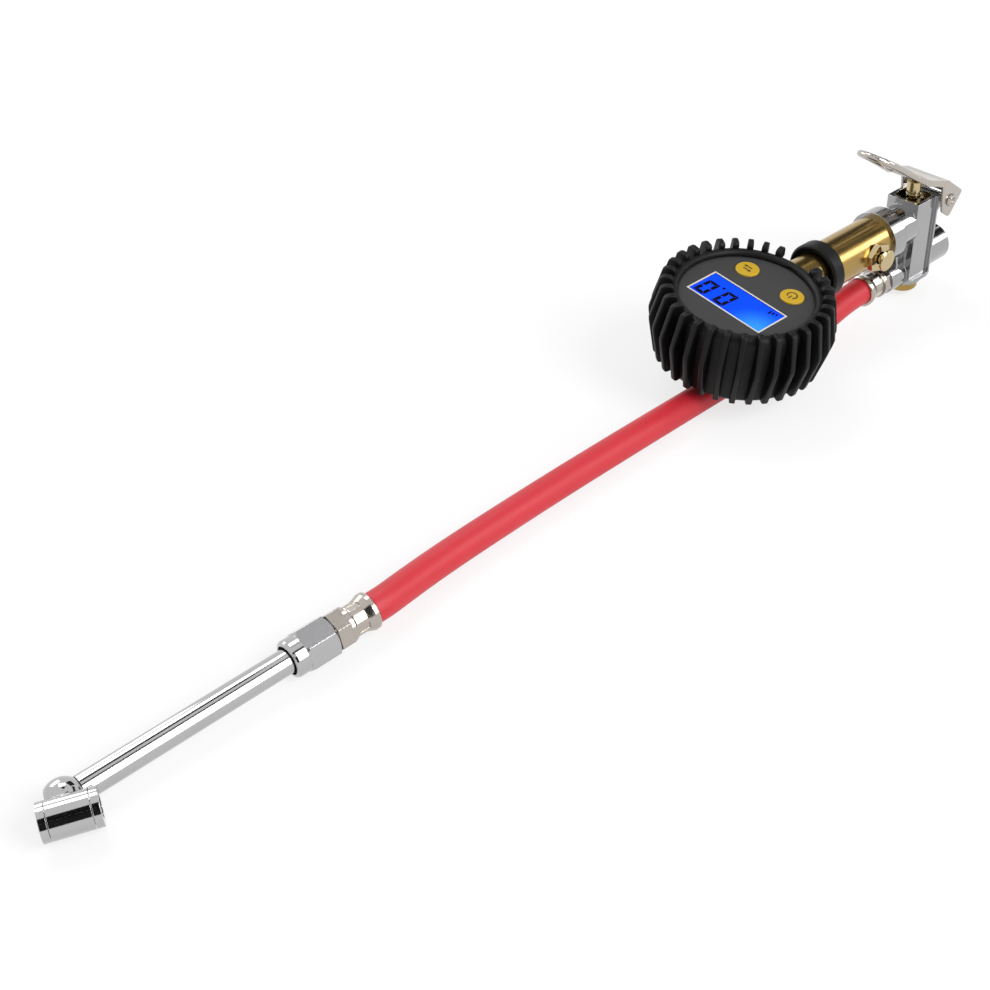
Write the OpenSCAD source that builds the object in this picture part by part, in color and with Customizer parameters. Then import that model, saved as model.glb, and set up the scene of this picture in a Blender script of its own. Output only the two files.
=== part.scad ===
// Trigger tyre inflator: a cast valve body with a squeeze lever carries a digital
// gauge on a brass barrel above a rubber hose that ends in a dual foot chuck.
// Frame: origin at the mouth of the air inlet, on its axis. +X runs along the
// barrel to the gauge and the chuck, +Z is up along the valve body. Millimetres.

/* [Valve body] */
// Length of the inlet boss behind the body
inlet_len = 15; // [13:0.5:24]
// Radius of the inlet boss
inlet_boss_r = 9; // [8:0.5:11]
// Radius of the threaded inlet bore
inlet_r = 6; // [5:0.1:6.8]
// Depth of the threaded inlet bore
inlet_depth = 12; // [10:0.5:12.5]
// Thickness of the body along the tool
body_len = 15; // [14:0.5:20]
// Width of the body across the tool
body_w = 19.4; // [17:0.2:19.6]
// Height of the top of the body above the inlet axis
body_top = 32; // [31:0.5:34]
// Depth of the underside of the body below the inlet axis
body_low = 8.5; // [8:0.5:12]
// Radius on the upright edges of the body
body_edge = 1.5; // [0.5:0.1:2.5]
// Wall around the open top of the body
top_wall = 1.5; // [1:0.1:2.2]
// Depth of the open top of the body
top_depth = 7; // [5:0.5:7.4]
// Depth of the shallow panel in each side of the body
panel_depth = 1.3; // [0.6:0.1:1.4]
// Width of the rim that is left behind and below the side panel
panel_rim = 2; // [1:0.1:4]
// Height of the barrel axis above the inlet axis
barrel_z = 20; // [19:0.5:21]
// Depth of the hose outlet axis below the inlet axis
hose_drop = 5; // [4:0.5:6]
// Radius of the neck between the body and the barrel collar
neck_r = 9.5; // [8.5:0.1:11]
// Length of the neck between the body and the barrel collar
neck_len = 12; // [9:0.5:16]
// Radius of the collar that holds the barrel
collar_r = 12.5; // [11.5:0.1:14]
// Length of the collar that holds the barrel
collar_len = 8; // [7:0.5:12]
// Radius of the hose outlet boss
outlet_r = 7; // [6.8:0.1:8]
// Length of the hose outlet boss
outlet_len = 10; // [8:0.5:12]
// Half width of the web between the collar neck and the outlet boss
web_half = 5; // [3.5:0.5:6]
// Radius of the boss that takes the bottom cap
base_r = 8.3; // [8:0.1:9.5]
// Height of the boss that takes the bottom cap
base_h = 2; // [1:0.5:4]
// Radius of the brass bottom cap
cap_r = 7.1; // [6.8:0.1:7.1]
// Height of the brass bottom cap
cap_h = 4.3; // [3.5:0.1:6]

/* [Valve inside] */
// Radius of the inlet chamber under the seat
chamber_r = 5.4; // [5:0.1:5.8]
// Height of the valve seat's underside above the inlet axis
seat_z = 2.5; // [2:0.1:4.5]
// Thickness of the valve seat
seat_t = 1.5; // [1:0.1:3]
// Radius of the hole in the valve seat
seat_r = 2.8; // [2.4:0.1:3.2]
// Radius of the outlet chamber above the seat
outlet_chamber_r = 4.2; // [3.9:0.1:4.8]
// Radius of the air passages
passage_r = 2.4; // [1.5:0.1:2.6]
// Radius of the plunger's stem in the gland
stem_r = 2.2; // [1.8:0.1:2.4]
// Radius of the plunger's head
plunger_r = 3.4; // [3:0.1:4]
// Radius of the crown on the plunger's head
crown_r = 8; // [7:0.5:9]
// Length of the plunger's head
plunger_head = 8.5; // [7:0.1:8.8]
// Radius of the poppet
poppet_r = 4.4; // [4:0.1:4.8]
// Wire radius of the valve spring
spring_wire = 0.5; // [0.3:0.05:0.6]
// Turns of the valve spring
spring_turns = 6; // [4:1:8]

/* [Lever] */
// Distance of the hinge pin from the inlet mouth
pivot_x = 10; // [9.5:0.1:10.5]
// Height of the hinge pin above the inlet axis
pivot_z = 28.7; // [28:0.1:29.5]
// Radius of the hinge pin
pin_r = 2; // [1.5:0.1:2.4]
// Slope of the lever's pad at rest, in degrees
lever_slope = 20; // [17:0.5:23]
// Extra slope of the lever's riser over its pad, in degrees
riser_bend = 12; // [8:1:16]
// Extra slope of the finger loop over the pad, in degrees
loop_bend = 12; // [6:1:16]
// Distance from the hinge pin square to the underside of the pad
pad_rise = 7; // [6.6:0.1:7.6]
// Thickness of the lever's sheet
lever_t = 1.8; // [1.2:0.1:2.4]
// Thickness of the finger loop's rolled edge
loop_t = 3; // [1.8:0.1:3.4]
// Distance along the slope from above the pin to the rear end of the pad
pad_start = 5; // [4:0.1:6]
// Distance along the slope from above the pin to the bend
pad_len = 23; // [21:0.5:26]
// Length of the riser between the pad and the finger loop
riser_len = 26; // [22:1:28]
// Length of the finger loop beyond the riser
loop_len = 11; // [9:1:20]
// Length of the finger hole, seen from above
finger_len = 25; // [18:0.5:28]
// Width of the lever over its ears
lever_w = 23.6; // [23.4:0.2:26]
// Width of the finger loop
loop_w = 20; // [17:0.5:22]
// Length over which the lever narrows from its pad to the loop
narrow_len = 16; // [8:1:20]
// Width of the finger hole
finger_w = 14; // [9:0.5:15]
// Depth of the folded edge along the pad
flange_depth = 1.2; // [0.4:0.1:1.6]
// Thickness of the ears
ear_t = 1.6; // [1:0.1:1.8]

/* [Barrel and bleed valve] */
// Radius of the brass barrel
barrel_r = 10.9; // [10.2:0.1:11.4]
// Length of the bare barrel between the collar and the rubber ring
barrel_len = 36; // [34:1:60]
// Radius of the barrel's bore
bore_r = 3; // [2:0.1:3.4]
// Radius of the rubber ring
ring_r = 13; // [12:0.1:14]
// Width of the rubber ring
ring_w = 7; // [5:0.5:9]
// Radius of the slim end of the barrel
slim_r = 9.3; // [8.6:0.1:9.6]
// Length of the slim end between the rubber ring and the gauge
slim_len = 14.1; // [13.6:0.1:18]
// Distance of the bleed valve from the collar
bleed_at = 11.7; // [9:0.1:20]
// Width across the flats of the bleed valve's hexagon
bleed_hex = 12; // [10:0.1:12.6]
// Radius of the bleed button's cap
bleed_cap_r = 4.8; // [3.5:0.1:5.2]
// How far the bleed button's cap stands out from the barrel axis
bleed_out = 17.2; // [16.4:0.1:19]

/* [Gauge] */
// Turn of the gauge about the barrel axis, in degrees
gauge_turn = 8; // [0:1:15]
// Height of the gauge's face above the barrel axis
face_rise = 8.1; // [7.8:0.1:9]
// Radius of the gauge case
case_r = 30.6; // [30:0.1:32]
// Depth of the gauge case behind its face
case_depth = 27.2; // [26.5:0.1:30]
// Wall of the gauge case
case_wall = 2; // [1.6:0.1:2.4]
// Thickness of the face plate
face_t = 2.4; // [2:0.1:2.5]
// How far the boot's lip covers the edge of the face
face_cover = 2.2; // [1.6:0.1:3]
// Width of the display window along the tool
lcd_w = 16.8; // [14:0.1:18]
// Length of the display window across the tool
lcd_l = 39; // [34:0.5:41]
// Distance of the display's middle from the middle of the face
lcd_x = 6.2; // [5:0.1:7]
// Radius of the two buttons
button_r = 5.2; // [4:0.1:5.3]
// Distance of the buttons' middle line inside the case's rear edge
button_inset = 15.9; // [15.6:0.1:16.2]
// Half the distance between the buttons
button_y = 12.5; // [10:0.1:12.7]
// How far a button's dome stands above the face
button_rise = 1; // [0.6:0.1:1.6]

/* [Boot] */
// Thickness of the boot's wall between its ribs
boot_wall = 3.4; // [2.6:0.1:4.2]
// How far a rib stands out of the boot's wall
rib_out = 6; // [4.5:0.5:8]
// Number of ribs around the boot
rib_count = 32; // [24:1:40]
// Thickness of a rib
rib_t = 2.2; // [1.4:0.1:2.6]
// Height of the boot's rim above the face
boot_rim = 5; // [3:0.1:6]
// Thickness of the boot's floor below the case
boot_floor = 2.6; // [2:0.1:3.5]

/* [Hose and fittings] */
// Radius of the hose
hose_r = 6.1; // [5.5:0.05:6.1]
// Width across the flats of the insert at the valve
rear_hex = 12; // [11.5:0.1:14]
// Length of the hexagon at the valve
rear_hex_len = 3.5; // [2.5:0.1:5]
// Length of the crimped ferrules
ferrule_len = 10.5; // [8.5:0.1:14]
// Radius of a ferrule's mouth
ferrule_r = 7.4; // [7:0.1:8]
// Radius of a ferrule's crimped waist
waist_r = 6.2; // [5.8:0.1:6.6]
// Width across the flats of the insert at the chuck
front_hex = 13.6; // [12:0.1:14.4]
// Length of the hexagon at the chuck
front_hex_len = 5.7; // [4:0.1:8]
// Width across the flats of the coupling nut
nut_hex = 15; // [13.6:0.1:15]
// Length of the coupling nut's hexagon
nut_len = 12.6; // [9:0.1:16]
// Radius of the coupling nut's collar
nut_collar_r = 7.3; // [6.8:0.1:7.4]
// Length of the coupling nut's collar
nut_collar_len = 5.4; // [5:0.1:9]

/* [Chuck] */
// Radius of the chuck's tube
tube_r = 4.75; // [4:0.05:4.8]
// Length of the tube that shows between the nut and the chuck head
tube_len = 87.6; // [60:0.2:105]
// Radius of the chuck head
head_r = 6.75; // [6.4:0.05:7]
// Length of the chuck head over its foot rings
head_len = 19.3; // [19:0.1:24]
// Turn of the chuck head from the tool's line, in degrees
head_turn = 22; // [18:1:45]
// Distance of the head's axis beside the tube's end
head_side = 8.6; // [8.6:0.1:9.4]
// Radius of the dome that joins the tube to the head
dome_r = 7.3; // [6.8:0.1:7.8]
// Radius of the socket that takes a tyre valve
socket_r = 4.1; // [3.9:0.05:4.3]
// Width of a foot ring
foot_ring_w = 2.8; // [2:0.1:3.4]

/* [Hidden] */
$fn = 64;

// Clearances
thread_gap = 0.05;    // between a thread and its hole
slip_gap = 0.1;       // between pieces that drop into each other
part_gap = 0.3;       // between pieces that pass each other
e = 0.01;             // overlap of cuts
beyond = 200;         // reach of a cut past everything

// Stations along X
body_x0 = inlet_len;
body_x1 = body_x0 + body_len;
stem_x = body_x0 + body_len / 2;
collar_x0 = body_x1 + neck_len;
collar_x1 = collar_x0 + collar_len;
ring_x0 = collar_x1 + barrel_len;
ring_x1 = ring_x0 + ring_w;
slim_x1 = ring_x1 + slim_len;
case_boss = 0.3;                       // flat boss outside the case wall
gauge_x = slim_x1 + case_boss + case_r;
face_r = case_r - face_cover;
button_x = case_r - button_inset;
boot_core_r = case_r + boot_wall;
boot_r = boot_core_r + rib_out;
outlet_x1 = body_x1 + outlet_len;
hose_z = -hose_drop;
channel_x = body_x1 + 3.2;
bleed_x = collar_x1 + bleed_at;

// Levels of the valve
recess_z = body_top - top_depth;
base_z = -body_low - base_h;
gasket_t = 0.5;
cap_top = base_z - gasket_t;
cap_low = cap_top - cap_h;
spigot_h = 4;
cap_floor = 2.2;
spring_floor = cap_low + cap_floor;
collar_bore_r = barrel_r - 2.9;
collar_bore = collar_len - 2;
strainer_t = 1;
lug_w = 15;                            // width of the hinge lug
strainer_r = inlet_r - 1;

// Lever and plunger, in the plane of the hinge
arm = stem_x - pivot_x;
pad_contact = (arm * sin(lever_slope) + pad_rise - crown_r - part_gap) / cos(lever_slope);
crown_z = pivot_z + pad_contact;       // centre of the crown
head_low = crown_z + crown_r - plunger_head;
rim_angle = acos(plunger_r / crown_r);

// Gauge levels, below its face
pcb_top = -5;
pcb_t = 1.6;
lcd_t = 2.25;
switch_h = 0.8;
button_flange = 0.4;
cell_r = 5.2;
cell_l = 44.5;
cell_pitch = 11.2;
cover_t = 1.1;
cell_z = cell_r + cover_t + part_gap - case_depth;
contact_y = cell_l / 2 + slip_gap;
contact_t = 0.4;
contact_w = cell_pitch + 2 * cell_r - 2.6;
contact_h = 8;
cell_rib_y = contact_y + contact_t + slip_gap;
cell_rib_w = contact_w + 1;
cell_rib_t = 1.5;
face_post_r = 2;
case_post_r = 2.5;
screw_seat_r = 3.4;
screw_seat_h = 4;
screw_in = 2.2;                        // depth of the screw heads' counterbores
screw_ring = case_r - case_wall - part_gap - face_post_r;
screw_angles = [30, 150, 210, 330];
post_split = -9;
cover_lap = 2;
opening_l = 2 * (cell_rib_y + 0.5);
opening_w = cell_pitch + 2 * cell_r + 2.1;
cover_l = opening_l + 2 * cover_lap;
cover_w = opening_w + 2 * cover_lap;
cover_tab = 3.2;
stem_thread_r = 4;
stem_nut_hex = 10;
stem_nut_t = 3;
stem_end = case_wall + 1 + stem_nut_t - case_r;
sensor_x = stem_end + 1.1;
sensor_l = 8.5;
sensor_w = 9;
sensor_low = -12;
nozzle_in = 2.4;
boss_r = slim_r - 0.3;

// Chuck head, measured out from its middle
seal_in = 3.5;
seal_t = 2.5;
seal_r = 5.3;
chamber_in_r = 2.9;
pin_disc_t = 1;
pin_disc_at = seal_in - part_gap - pin_disc_t;
core_half = head_len / 2 - foot_ring_w;
socket_in = seal_in + seal_t;

// Stations along the line of the chuck, from the hose's mouth in its ferrule
front_rise = -0.9;
front_turn = 0.2;
front_at = [349, 10.3, -8.6];
bead_w = 1.7;
nut_s = ferrule_len + bead_w + front_hex_len + 0.7;
collar_s = nut_s + nut_len;
nut_end_s = collar_s + nut_collar_len;
nut_recess = 3;
spigot_s = nut_s + 6.5;
washer_t = 0.8;
tube_s = spigot_s + washer_t;
tube_flange = 1;
dome_s = nut_end_s + tube_len;
head_lift = 1.5;       // the head's axis above the tube's end
head_ahead = 2.1;      // the head's middle past the tube's end

// Hose: round points chosen by hand between its two ferrules
hose_seat = 1.5;
rear_bead_x = outlet_x1 + 0.1 + rear_hex_len;
hose_start = [rear_bead_x + bead_w + ferrule_len - hose_seat, 0, hose_z];
hose_route = [
    [68, 0, -5.7], [76, 0, -7.3], [85, 0, -9.2], [94, 0, -10.4], [104, 0.1, -10.9],
    [120, 0.2, -11], [150, 0.4, -11], [182, 0.7, -11], [210, 1.1, -11], [244, 1.8, -11],
    [272, 2.8, -11], [296, 4, -10.9], [312, 5.3, -10.6], [324, 6.9, -10], [334, 8.7, -9.2]];

// ---------------------------------------------------------------- helpers

// Cylinder along X from x0 to x1
module rod_x(x0, x1, r) {
    translate([x0, 0, 0]) rotate([0, 90, 0]) cylinder(h = x1 - x0, r = r);
}

// Cylinder along Y from y0 to y1
module rod_y(y0, y1, r) {
    translate([0, y0, 0]) rotate([-90, 0, 0]) cylinder(h = y1 - y0, r = r);
}

// Hexagonal bar along X, across the flats
module hex_x(x0, x1, flats, turn = 0) {
    translate([x0, 0, 0]) rotate([turn, 0, 0]) rotate([0, 90, 0])
        cylinder(h = x1 - x0, r = flats / 2 / cos(30), $fn = 6);
}

// Ring of round section around Z
module oring(mid_r, section_r) {
    rotate_extrude() translate([mid_r, 0]) circle(r = section_r, $fn = 32);
}

// Rectangle with round corners, centred
module round_rect(l, w, r) {
    square([l - 2 * r, w], center = true);
    square([l, w - 2 * r], center = true);
    for (sx = [-1, 1], sy = [-1, 1])
        translate([sx * (l / 2 - r), sy * (w / 2 - r)]) circle(r = r);
}

// Slot with round ends, from x0 to x1, centred on the X axis
module slot(x0, x1, w) {
    translate([x0 + w / 2, 0]) circle(d = w);
    translate([x1 - w / 2, 0]) circle(d = w);
    translate([x0 + w / 2, -w / 2]) square([x1 - x0 - w, w]);
}

// Tube of round section swept along points; the end rings lie square to the ends
function unit(v) = v / norm(v);
function heading(p, i) =
    let (n = len(p) - 1)
    i == 0 ? unit(p[1] - p[0]) : i == n ? unit(p[n] - p[n - 1])
    : unit(unit(p[i + 1] - p[i]) + unit(p[i] - p[i - 1]));
function side_axis(h) = unit(abs(h[2]) < 0.9 ? cross([0, 0, 1], h) : cross([0, 1, 0], h));
function tube_ring(c, h, r, sides) =
    let (u = side_axis(h), v = cross(h, u))
    [for (k = [0:sides - 1]) let (a = 360 * (k + 0.5) / sides) c + r * (cos(a) * u + sin(a) * v)];
module swept_tube(p, r, sides) {
    n = len(p);
    rings = [for (i = [0:n - 1]) each tube_ring(p[i], heading(p, i), r, sides)];
    walls = [for (i = [0:n - 2], k = [0:sides - 1]) let (a = i * sides, b = (k + 1) % sides)
        each [[a + k, a + sides + k, a + sides + b], [a + k, a + sides + b, a + b]]];
    near = [for (k = [1:sides - 2]) [0, k, k + 1]];
    far_at = (n - 1) * sides;
    far = [for (k = [1:sides - 2]) [far_at, far_at + k + 1, far_at + k]];
    polyhedron(points = rings, faces = concat(near, walls, far), convexity = 6);
}

// Coil spring around Z: flat run at each end is left out, so the ends are square
spring_steps = 8;
function coil_points(r, turns, h) =
    [for (i = [0:turns * spring_steps]) let (a = 360 * i / spring_steps)
        [r * cos(a), r * sin(a), h * i / (turns * spring_steps)]];
module coil(r, wire, turns, h) {
    least_gap = h / turns - 2 * wire;
    echo(least_gap = least_gap);
    translate([0, 0, wire * 1.15]) swept_tube(coil_points(r, turns, h - 2.3 * wire), wire, 6);
}

// ---------------------------------------------------------------- placing

module at_barrel() { translate([0, 0, barrel_z]) children(); }
module at_stem() { translate([stem_x, 0, 0]) children(); }
module at_bleed() { translate([bleed_x, 0, barrel_z]) children(); }
module at_gauge() {
    translate([gauge_x, 0, barrel_z]) rotate([-gauge_turn, 0, 0])
        translate([0, 0, face_rise]) children();
}
module at_front() { translate(front_at) rotate([0, -front_rise, front_turn]) children(); }
dome_at = front_at + dome_s * [cos(front_rise) * cos(front_turn),
    cos(front_rise) * sin(front_turn), sin(front_rise)];
module at_head() {
    translate(dome_at + [head_ahead, head_side, head_lift]) rotate([0, 0, -head_turn]) children();
}

// ---------------------------------------------------------------- gauge

// Half section of the boot's core: a cup with a lip over the face plate
module boot_core() {
    floor_z = -case_depth - part_gap / 2;
    low_z = -case_depth - boot_floor;
    inner_r = case_r + part_gap / 2 + 0.05;
    rotate_extrude($fn = 96) polygon([[case_r - 3.6, low_z], [boot_core_r - 1, low_z],
        [boot_core_r - 0.3, low_z + 2], [boot_core_r, -face_rise],
        [boot_core_r - 0.8, boot_rim - 4], [boot_core_r - 1.8, boot_rim - 2.8],
        [case_r + 0.2, boot_rim - 2.4], [face_r + 1, boot_rim - 2.9], [face_r + 0.2, 0.7],
        [face_r + 0.2, 0.15], [inner_r, 0.15], [inner_r, floor_z], [case_r - 3.6, floor_z]]);
}

// One rib of the boot, widest at the level of its shoulder
module boot_rib() {
    low_z = -case_depth - boot_floor;
    rotate([90, 0, 0]) translate([0, 0, -rib_t / 2]) linear_extrude(height = rib_t)
        polygon([[case_r + 1, low_z + 0.4], [boot_r - 5, low_z], [boot_r - 3.8, low_z + 0.8],
            [boot_r - 0.3, -face_rise - 5], [boot_r, -face_rise - 3.2],
            [boot_r - 0.3, -face_rise - 1.4], [boot_r - 3, boot_rim - 1.6],
            [boot_r - 4.2, boot_rim], [boot_r - 6, boot_rim + 0.2], [case_r + 0.6, boot_rim - 0.8]]);
}

module gauge_boot() {
    color("#26282b") at_gauge() difference() {
        union() {
            boot_core();
            difference() {
                for (i = [0:rib_count - 1]) rotate([0, 0, 360 * (i + 0.5) / rib_count]) boot_rib();
                translate([0, 0, -face_rise]) rod_x(-boot_r - 1, -case_r, ring_r);
                translate([-boot_r - 1, -ring_r / 2, -face_rise])
                    cube([boot_r + 1 - case_r, ring_r, face_rise + 2 * boot_rim]);
            }
        }
        translate([0, 0, -face_rise]) rod_x(-boot_r - 1, -face_r, slim_r + part_gap);
    }
}

module screw_spots() {
    for (a = screw_angles) rotate([0, 0, a]) translate([screw_ring, 0, 0]) children();
}

// Outline of the battery cover, grown by g
module cover_outline(g) {
    square([cover_w + 2 * g, cover_l + 2 * g], center = true);
    translate([cover_w / 2 + 1.2, 0]) circle(r = cover_tab + g);
}

module gauge_case() {
    color("#303236") at_gauge() difference() {
        union() {
            difference() {
                translate([0, 0, -case_depth]) cylinder(h = case_depth - face_t, r = case_r);
                translate([0, 0, case_wall - case_depth])
                    cylinder(h = case_depth, r = case_r - case_wall);
            }
            screw_spots() translate([0, 0, -case_depth]) {
                cylinder(h = case_depth + post_split, r = case_post_r);
                cylinder(h = screw_seat_h, r = screw_seat_r);
            }
            for (s = [0, 180]) rotate([0, 0, s])
                translate([-cell_rib_w / 2, cell_rib_y, case_wall - case_depth - e])
                    cube([cell_rib_w, cell_rib_t, cell_z + 3 + case_depth - case_wall]);
            translate([cover_w / 2 + 1.2, 0, -case_depth]) cylinder(h = 6, r = cover_tab);
            intersection() {
                translate([0, 0, -face_rise]) rod_x(-case_r - case_boss, stem_end - stem_nut_t, boss_r);
                translate([0, 0, -case_depth]) cylinder(h = case_depth - face_t, r = case_r + 2);
            }
        }
        screw_spots() {
            translate([0, 0, -case_depth - e]) cylinder(h = case_depth, r = 1.35);
            translate([0, 0, -case_depth - e]) cylinder(h = screw_in + e, r = 2.35);
        }
        translate([0, 0, -case_depth - e]) linear_extrude(height = cover_t + e)
            cover_outline(slip_gap);
        translate([0, 0, -case_depth - e]) linear_extrude(height = case_wall + 2 * e)
            square([opening_w, opening_l], center = true);
        translate([cover_w / 2 + 1.2, 0, -case_depth]) cylinder(h = 5, r = 0.95);
        translate([0, 0, -face_rise]) rod_x(-case_r - 2, -case_r / 2, stem_thread_r + thread_gap);
    }
}

module face_plate() {
    color("#46474a") at_gauge() difference() {
        union() {
            translate([0, 0, -face_t]) cylinder(h = face_t, r = case_r);
            screw_spots() translate([0, 0, post_split]) cylinder(h = -post_split - e, r = face_post_r);
        }
        translate([lcd_x, 0, -face_t / 2]) cube([lcd_w, lcd_l, face_t + 1], center = true);
        for (s = [-1, 1]) translate([-button_x, s * button_y, -face_t - 1])
            cylinder(h = face_t + 2, r = button_r + 0.15);
        screw_spots() translate([0, 0, post_split - e]) cylinder(h = 6, r = 1.1 + thread_gap);
    }
}

module lcd_lens() {
    color("#1e50ff") at_gauge() translate([lcd_x, 0, -face_t / 2 - 0.1])
        cube([lcd_w - 2 * slip_gap, lcd_l - 2 * slip_gap, face_t - 0.2], center = true);
}

module lcd_module() {
    color("#10204a") at_gauge() translate([lcd_x, 0, -face_t - lcd_t / 2 - 0.05])
        cube([lcd_w + 3, lcd_l + 3, lcd_t], center = true);
}

// Button: domed cap, flange under the plate and a short foot
module button() {
    flange_top = -face_t - 0.2;
    color("#f2c318") rotate_extrude() polygon(concat(
        [[0, -face_t - 1.2], [1.5, -face_t - 1.2], [1.5, flange_top - button_flange],
         [button_r + 0.4, flange_top - button_flange], [button_r + 0.4, flange_top],
         [button_r, flange_top], [button_r, 0]],
        [for (a = [0:15:90]) [button_r - 0.6 + 0.6 * cos(a), 0.3 + (button_rise - 0.6) * sin(a)]],
        [[0, button_rise]]));
}

module button_on() { at_gauge() translate([-button_x, button_y, 0]) button(); }
module button_unit() { at_gauge() translate([-button_x, -button_y, 0]) button(); }

module button_switches() {
    color("#1b1b1d") at_gauge() for (s = [-1, 1])
        translate([-button_x, s * button_y, pcb_top + switch_h / 2]) cube([5, 5, switch_h], center = true);
}

module circuit_board() {
    color("#1f6b3a") at_gauge() translate([0, 0, pcb_top - pcb_t])
        cylinder(h = pcb_t, r = screw_ring - face_post_r - 2.6);
}

module pressure_sensor() {
    color("#8f9296") at_gauge() {
        translate([sensor_x, -sensor_w / 2, sensor_low])
            cube([sensor_l, sensor_w, pcb_top - pcb_t - sensor_low]);
        translate([0, 0, -face_rise]) rod_x(stem_end - nozzle_in, sensor_x + e, 1.45);
    }
}

module batteries() {
    color("#2f5f8f") at_gauge() for (s = [-1, 1])
        translate([s * cell_pitch / 2, 0, cell_z]) rod_y(-cell_l / 2, cell_l / 2, cell_r);
}

module battery_contacts() {
    color("#b9bcc0") at_gauge() for (s = [-1, 1])
        translate([0, s * (contact_y + contact_t / 2), cell_z]) cube([contact_w, contact_t, contact_h], center = true);
}

module battery_cover() {
    color("#2b2d30") at_gauge() difference() {
        translate([0, 0, -case_depth]) linear_extrude(height = cover_t) cover_outline(0);
        translate([cover_w / 2 + 1.2, 0, -case_depth - 1]) cylinder(h = 4, r = 1.2);
    }
}

// Pan head screw pointing up, its head's underside at z = 0
module pan_screw(r, l, head_r, head_h) {
    difference() {
        translate([0, 0, -head_h]) {
            cylinder(h = l + head_h, r = r);
            cylinder(h = head_h, r = head_r);
        }
        for (a = [0, 90]) rotate([0, 0, a]) translate([0, 0, -head_h])
            cube([head_r * 1.2, 0.5, 0.8], center = true);
    }
}

module battery_cover_screw() {
    color("#a9acb0") at_gauge() translate([cover_w / 2 + 1.2, 0, -case_depth])
        pan_screw(0.9, 4.5, 2, 0.9);
}

module case_screws() {
    color("#a9acb0") at_gauge() screw_spots() translate([0, 0, -case_depth + screw_in])
        pan_screw(1.1, case_depth - screw_in - 4, 2.1, 1.6);
}

module stem_nut() {
    color("#c9a24a") at_gauge() translate([0, 0, -face_rise]) difference() {
        hex_x(stem_end - stem_nut_t, stem_end, stem_nut_hex, 30);
        rod_x(stem_end - stem_nut_t - 1, stem_end + 1, stem_thread_r + thread_gap);
    }
}

// ---------------------------------------------------------------- barrel

module barrel() {
    color("#c9a24a") at_barrel() difference() {
        union() {
            rod_x(collar_x1 - collar_bore + slip_gap, collar_x1, collar_bore_r - thread_gap);
            rod_x(collar_x1, ring_x0, barrel_r);
            rod_x(ring_x0, slim_x1, slim_r);
            rod_x(slim_x1, gauge_x + stem_end, stem_thread_r);
        }
        rod_x(collar_x1 - collar_bore - 1, slim_x1 - 4, bore_r);
        rod_x(slim_x1 - 5, gauge_x, 1.6);
        translate([bleed_x, 0, 0]) {
            rod_y(5, barrel_r + 1, 3.9 + thread_gap);
            rod_y(0, 5 + e, 2.2);
            rod_y(bleed_seat, barrel_r + 1, bleed_hex / 2 / cos(30) + slip_gap);
        }
        difference() {
            rod_x(collar_x1 - 3.4, collar_x1 - 1.6, collar_bore_r + 1);
            rod_x(collar_x1 - 4, collar_x1 - 1, collar_bore_r - 1.3);
        }
    }
}

module barrel_oring() {
    color("#1b1b1d") at_barrel() translate([collar_x1 - 2.5, 0, 0]) rotate([0, 90, 0])
        oring(collar_bore_r - 0.62, 0.6);
}

module barrel_ring() {
    color("#26282b") at_barrel() translate([ring_x0, 0, 0]) rotate([0, 90, 0])
        rotate_extrude() polygon([[slim_r + thread_gap, 0], [ring_r - 0.8, 0], [ring_r, 0.8],
            [ring_r, ring_w - 0.8], [ring_r - 0.8, ring_w], [ring_r - 1.4, ring_w - 0.2],
            [ring_r - 1.6, ring_w - 2.4], [slim_r + 0.9, ring_w - 2.4], [slim_r + thread_gap, ring_w - 1.6]]);
}

bleed_low = 5;
bleed_seat = barrel_r - 0.4;           // flat that the hexagon sits on
bleed_floor = 7.5;
bleed_top = barrel_r + 2.1;
bleed_shoulder = 11.5;

module bleed_body() {
    color("#d8c48a") at_bleed() difference() {
        union() {
            rod_y(bleed_low + thread_gap, barrel_r, 3.9);
            rotate([0, 0, 90]) hex_x(bleed_seat, bleed_top, bleed_hex, 12);
        }
        rod_y(bleed_floor, bleed_top + 1, 3);
        rod_y(bleed_low - 1, bleed_floor + 1, 1.15);
    }
}

module bleed_button() {
    color("#e0cf9a") at_bleed() {
        rod_y(4.85, bleed_shoulder + e, 1);
        rod_y(bleed_shoulder, bleed_out - 1.5 + e, 2.2);
        translate([0, bleed_out - 1.5, 0]) rotate([-90, 0, 0]) rotate_extrude()
            polygon([[0, 0], [bleed_cap_r - 0.3, 0], [bleed_cap_r, 0.3], [bleed_cap_r, 1.2],
                [bleed_cap_r - 0.3, 1.5], [0, 1.5]]);
    }
}

module bleed_seal() {
    color("#1b1b1d") at_bleed() rod_y(3.5, 4.85, 1.8);
}

module bleed_spring() {
    color("#c4c7cb") at_bleed() translate([0, bleed_floor, 0]) rotate([-90, 0, 0])
        coil(1.7, 0.25, 4, bleed_shoulder - bleed_floor);
}

// ---------------------------------------------------------------- valve

// Side outline of the body: its rear lower corner is cut away
module body_side() {
    polygon([[body_x0, -body_low + 2], [body_x0 + 3, -body_low], [body_x1, -body_low],
        [body_x1, body_top], [body_x0, body_top]]);
}

module body_block() {
    intersection() {
        rotate([90, 0, 0]) translate([0, 0, -body_w]) linear_extrude(height = 2 * body_w) body_side();
        translate([stem_x, 0, -body_low - 1]) linear_extrude(height = body_top + body_low + 2)
            round_rect(body_len, body_w, body_edge);
    }
}

// Shallow panel in one side, open at the top and the front
module side_panel(s) {
    translate([body_x0 + panel_rim, s > 0 ? body_w / 2 - panel_depth : -body_w / 2 - 5,
        -body_low + panel_rim]) cube([body_len, panel_depth + 5, body_top + body_low + 10]);
}

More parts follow.
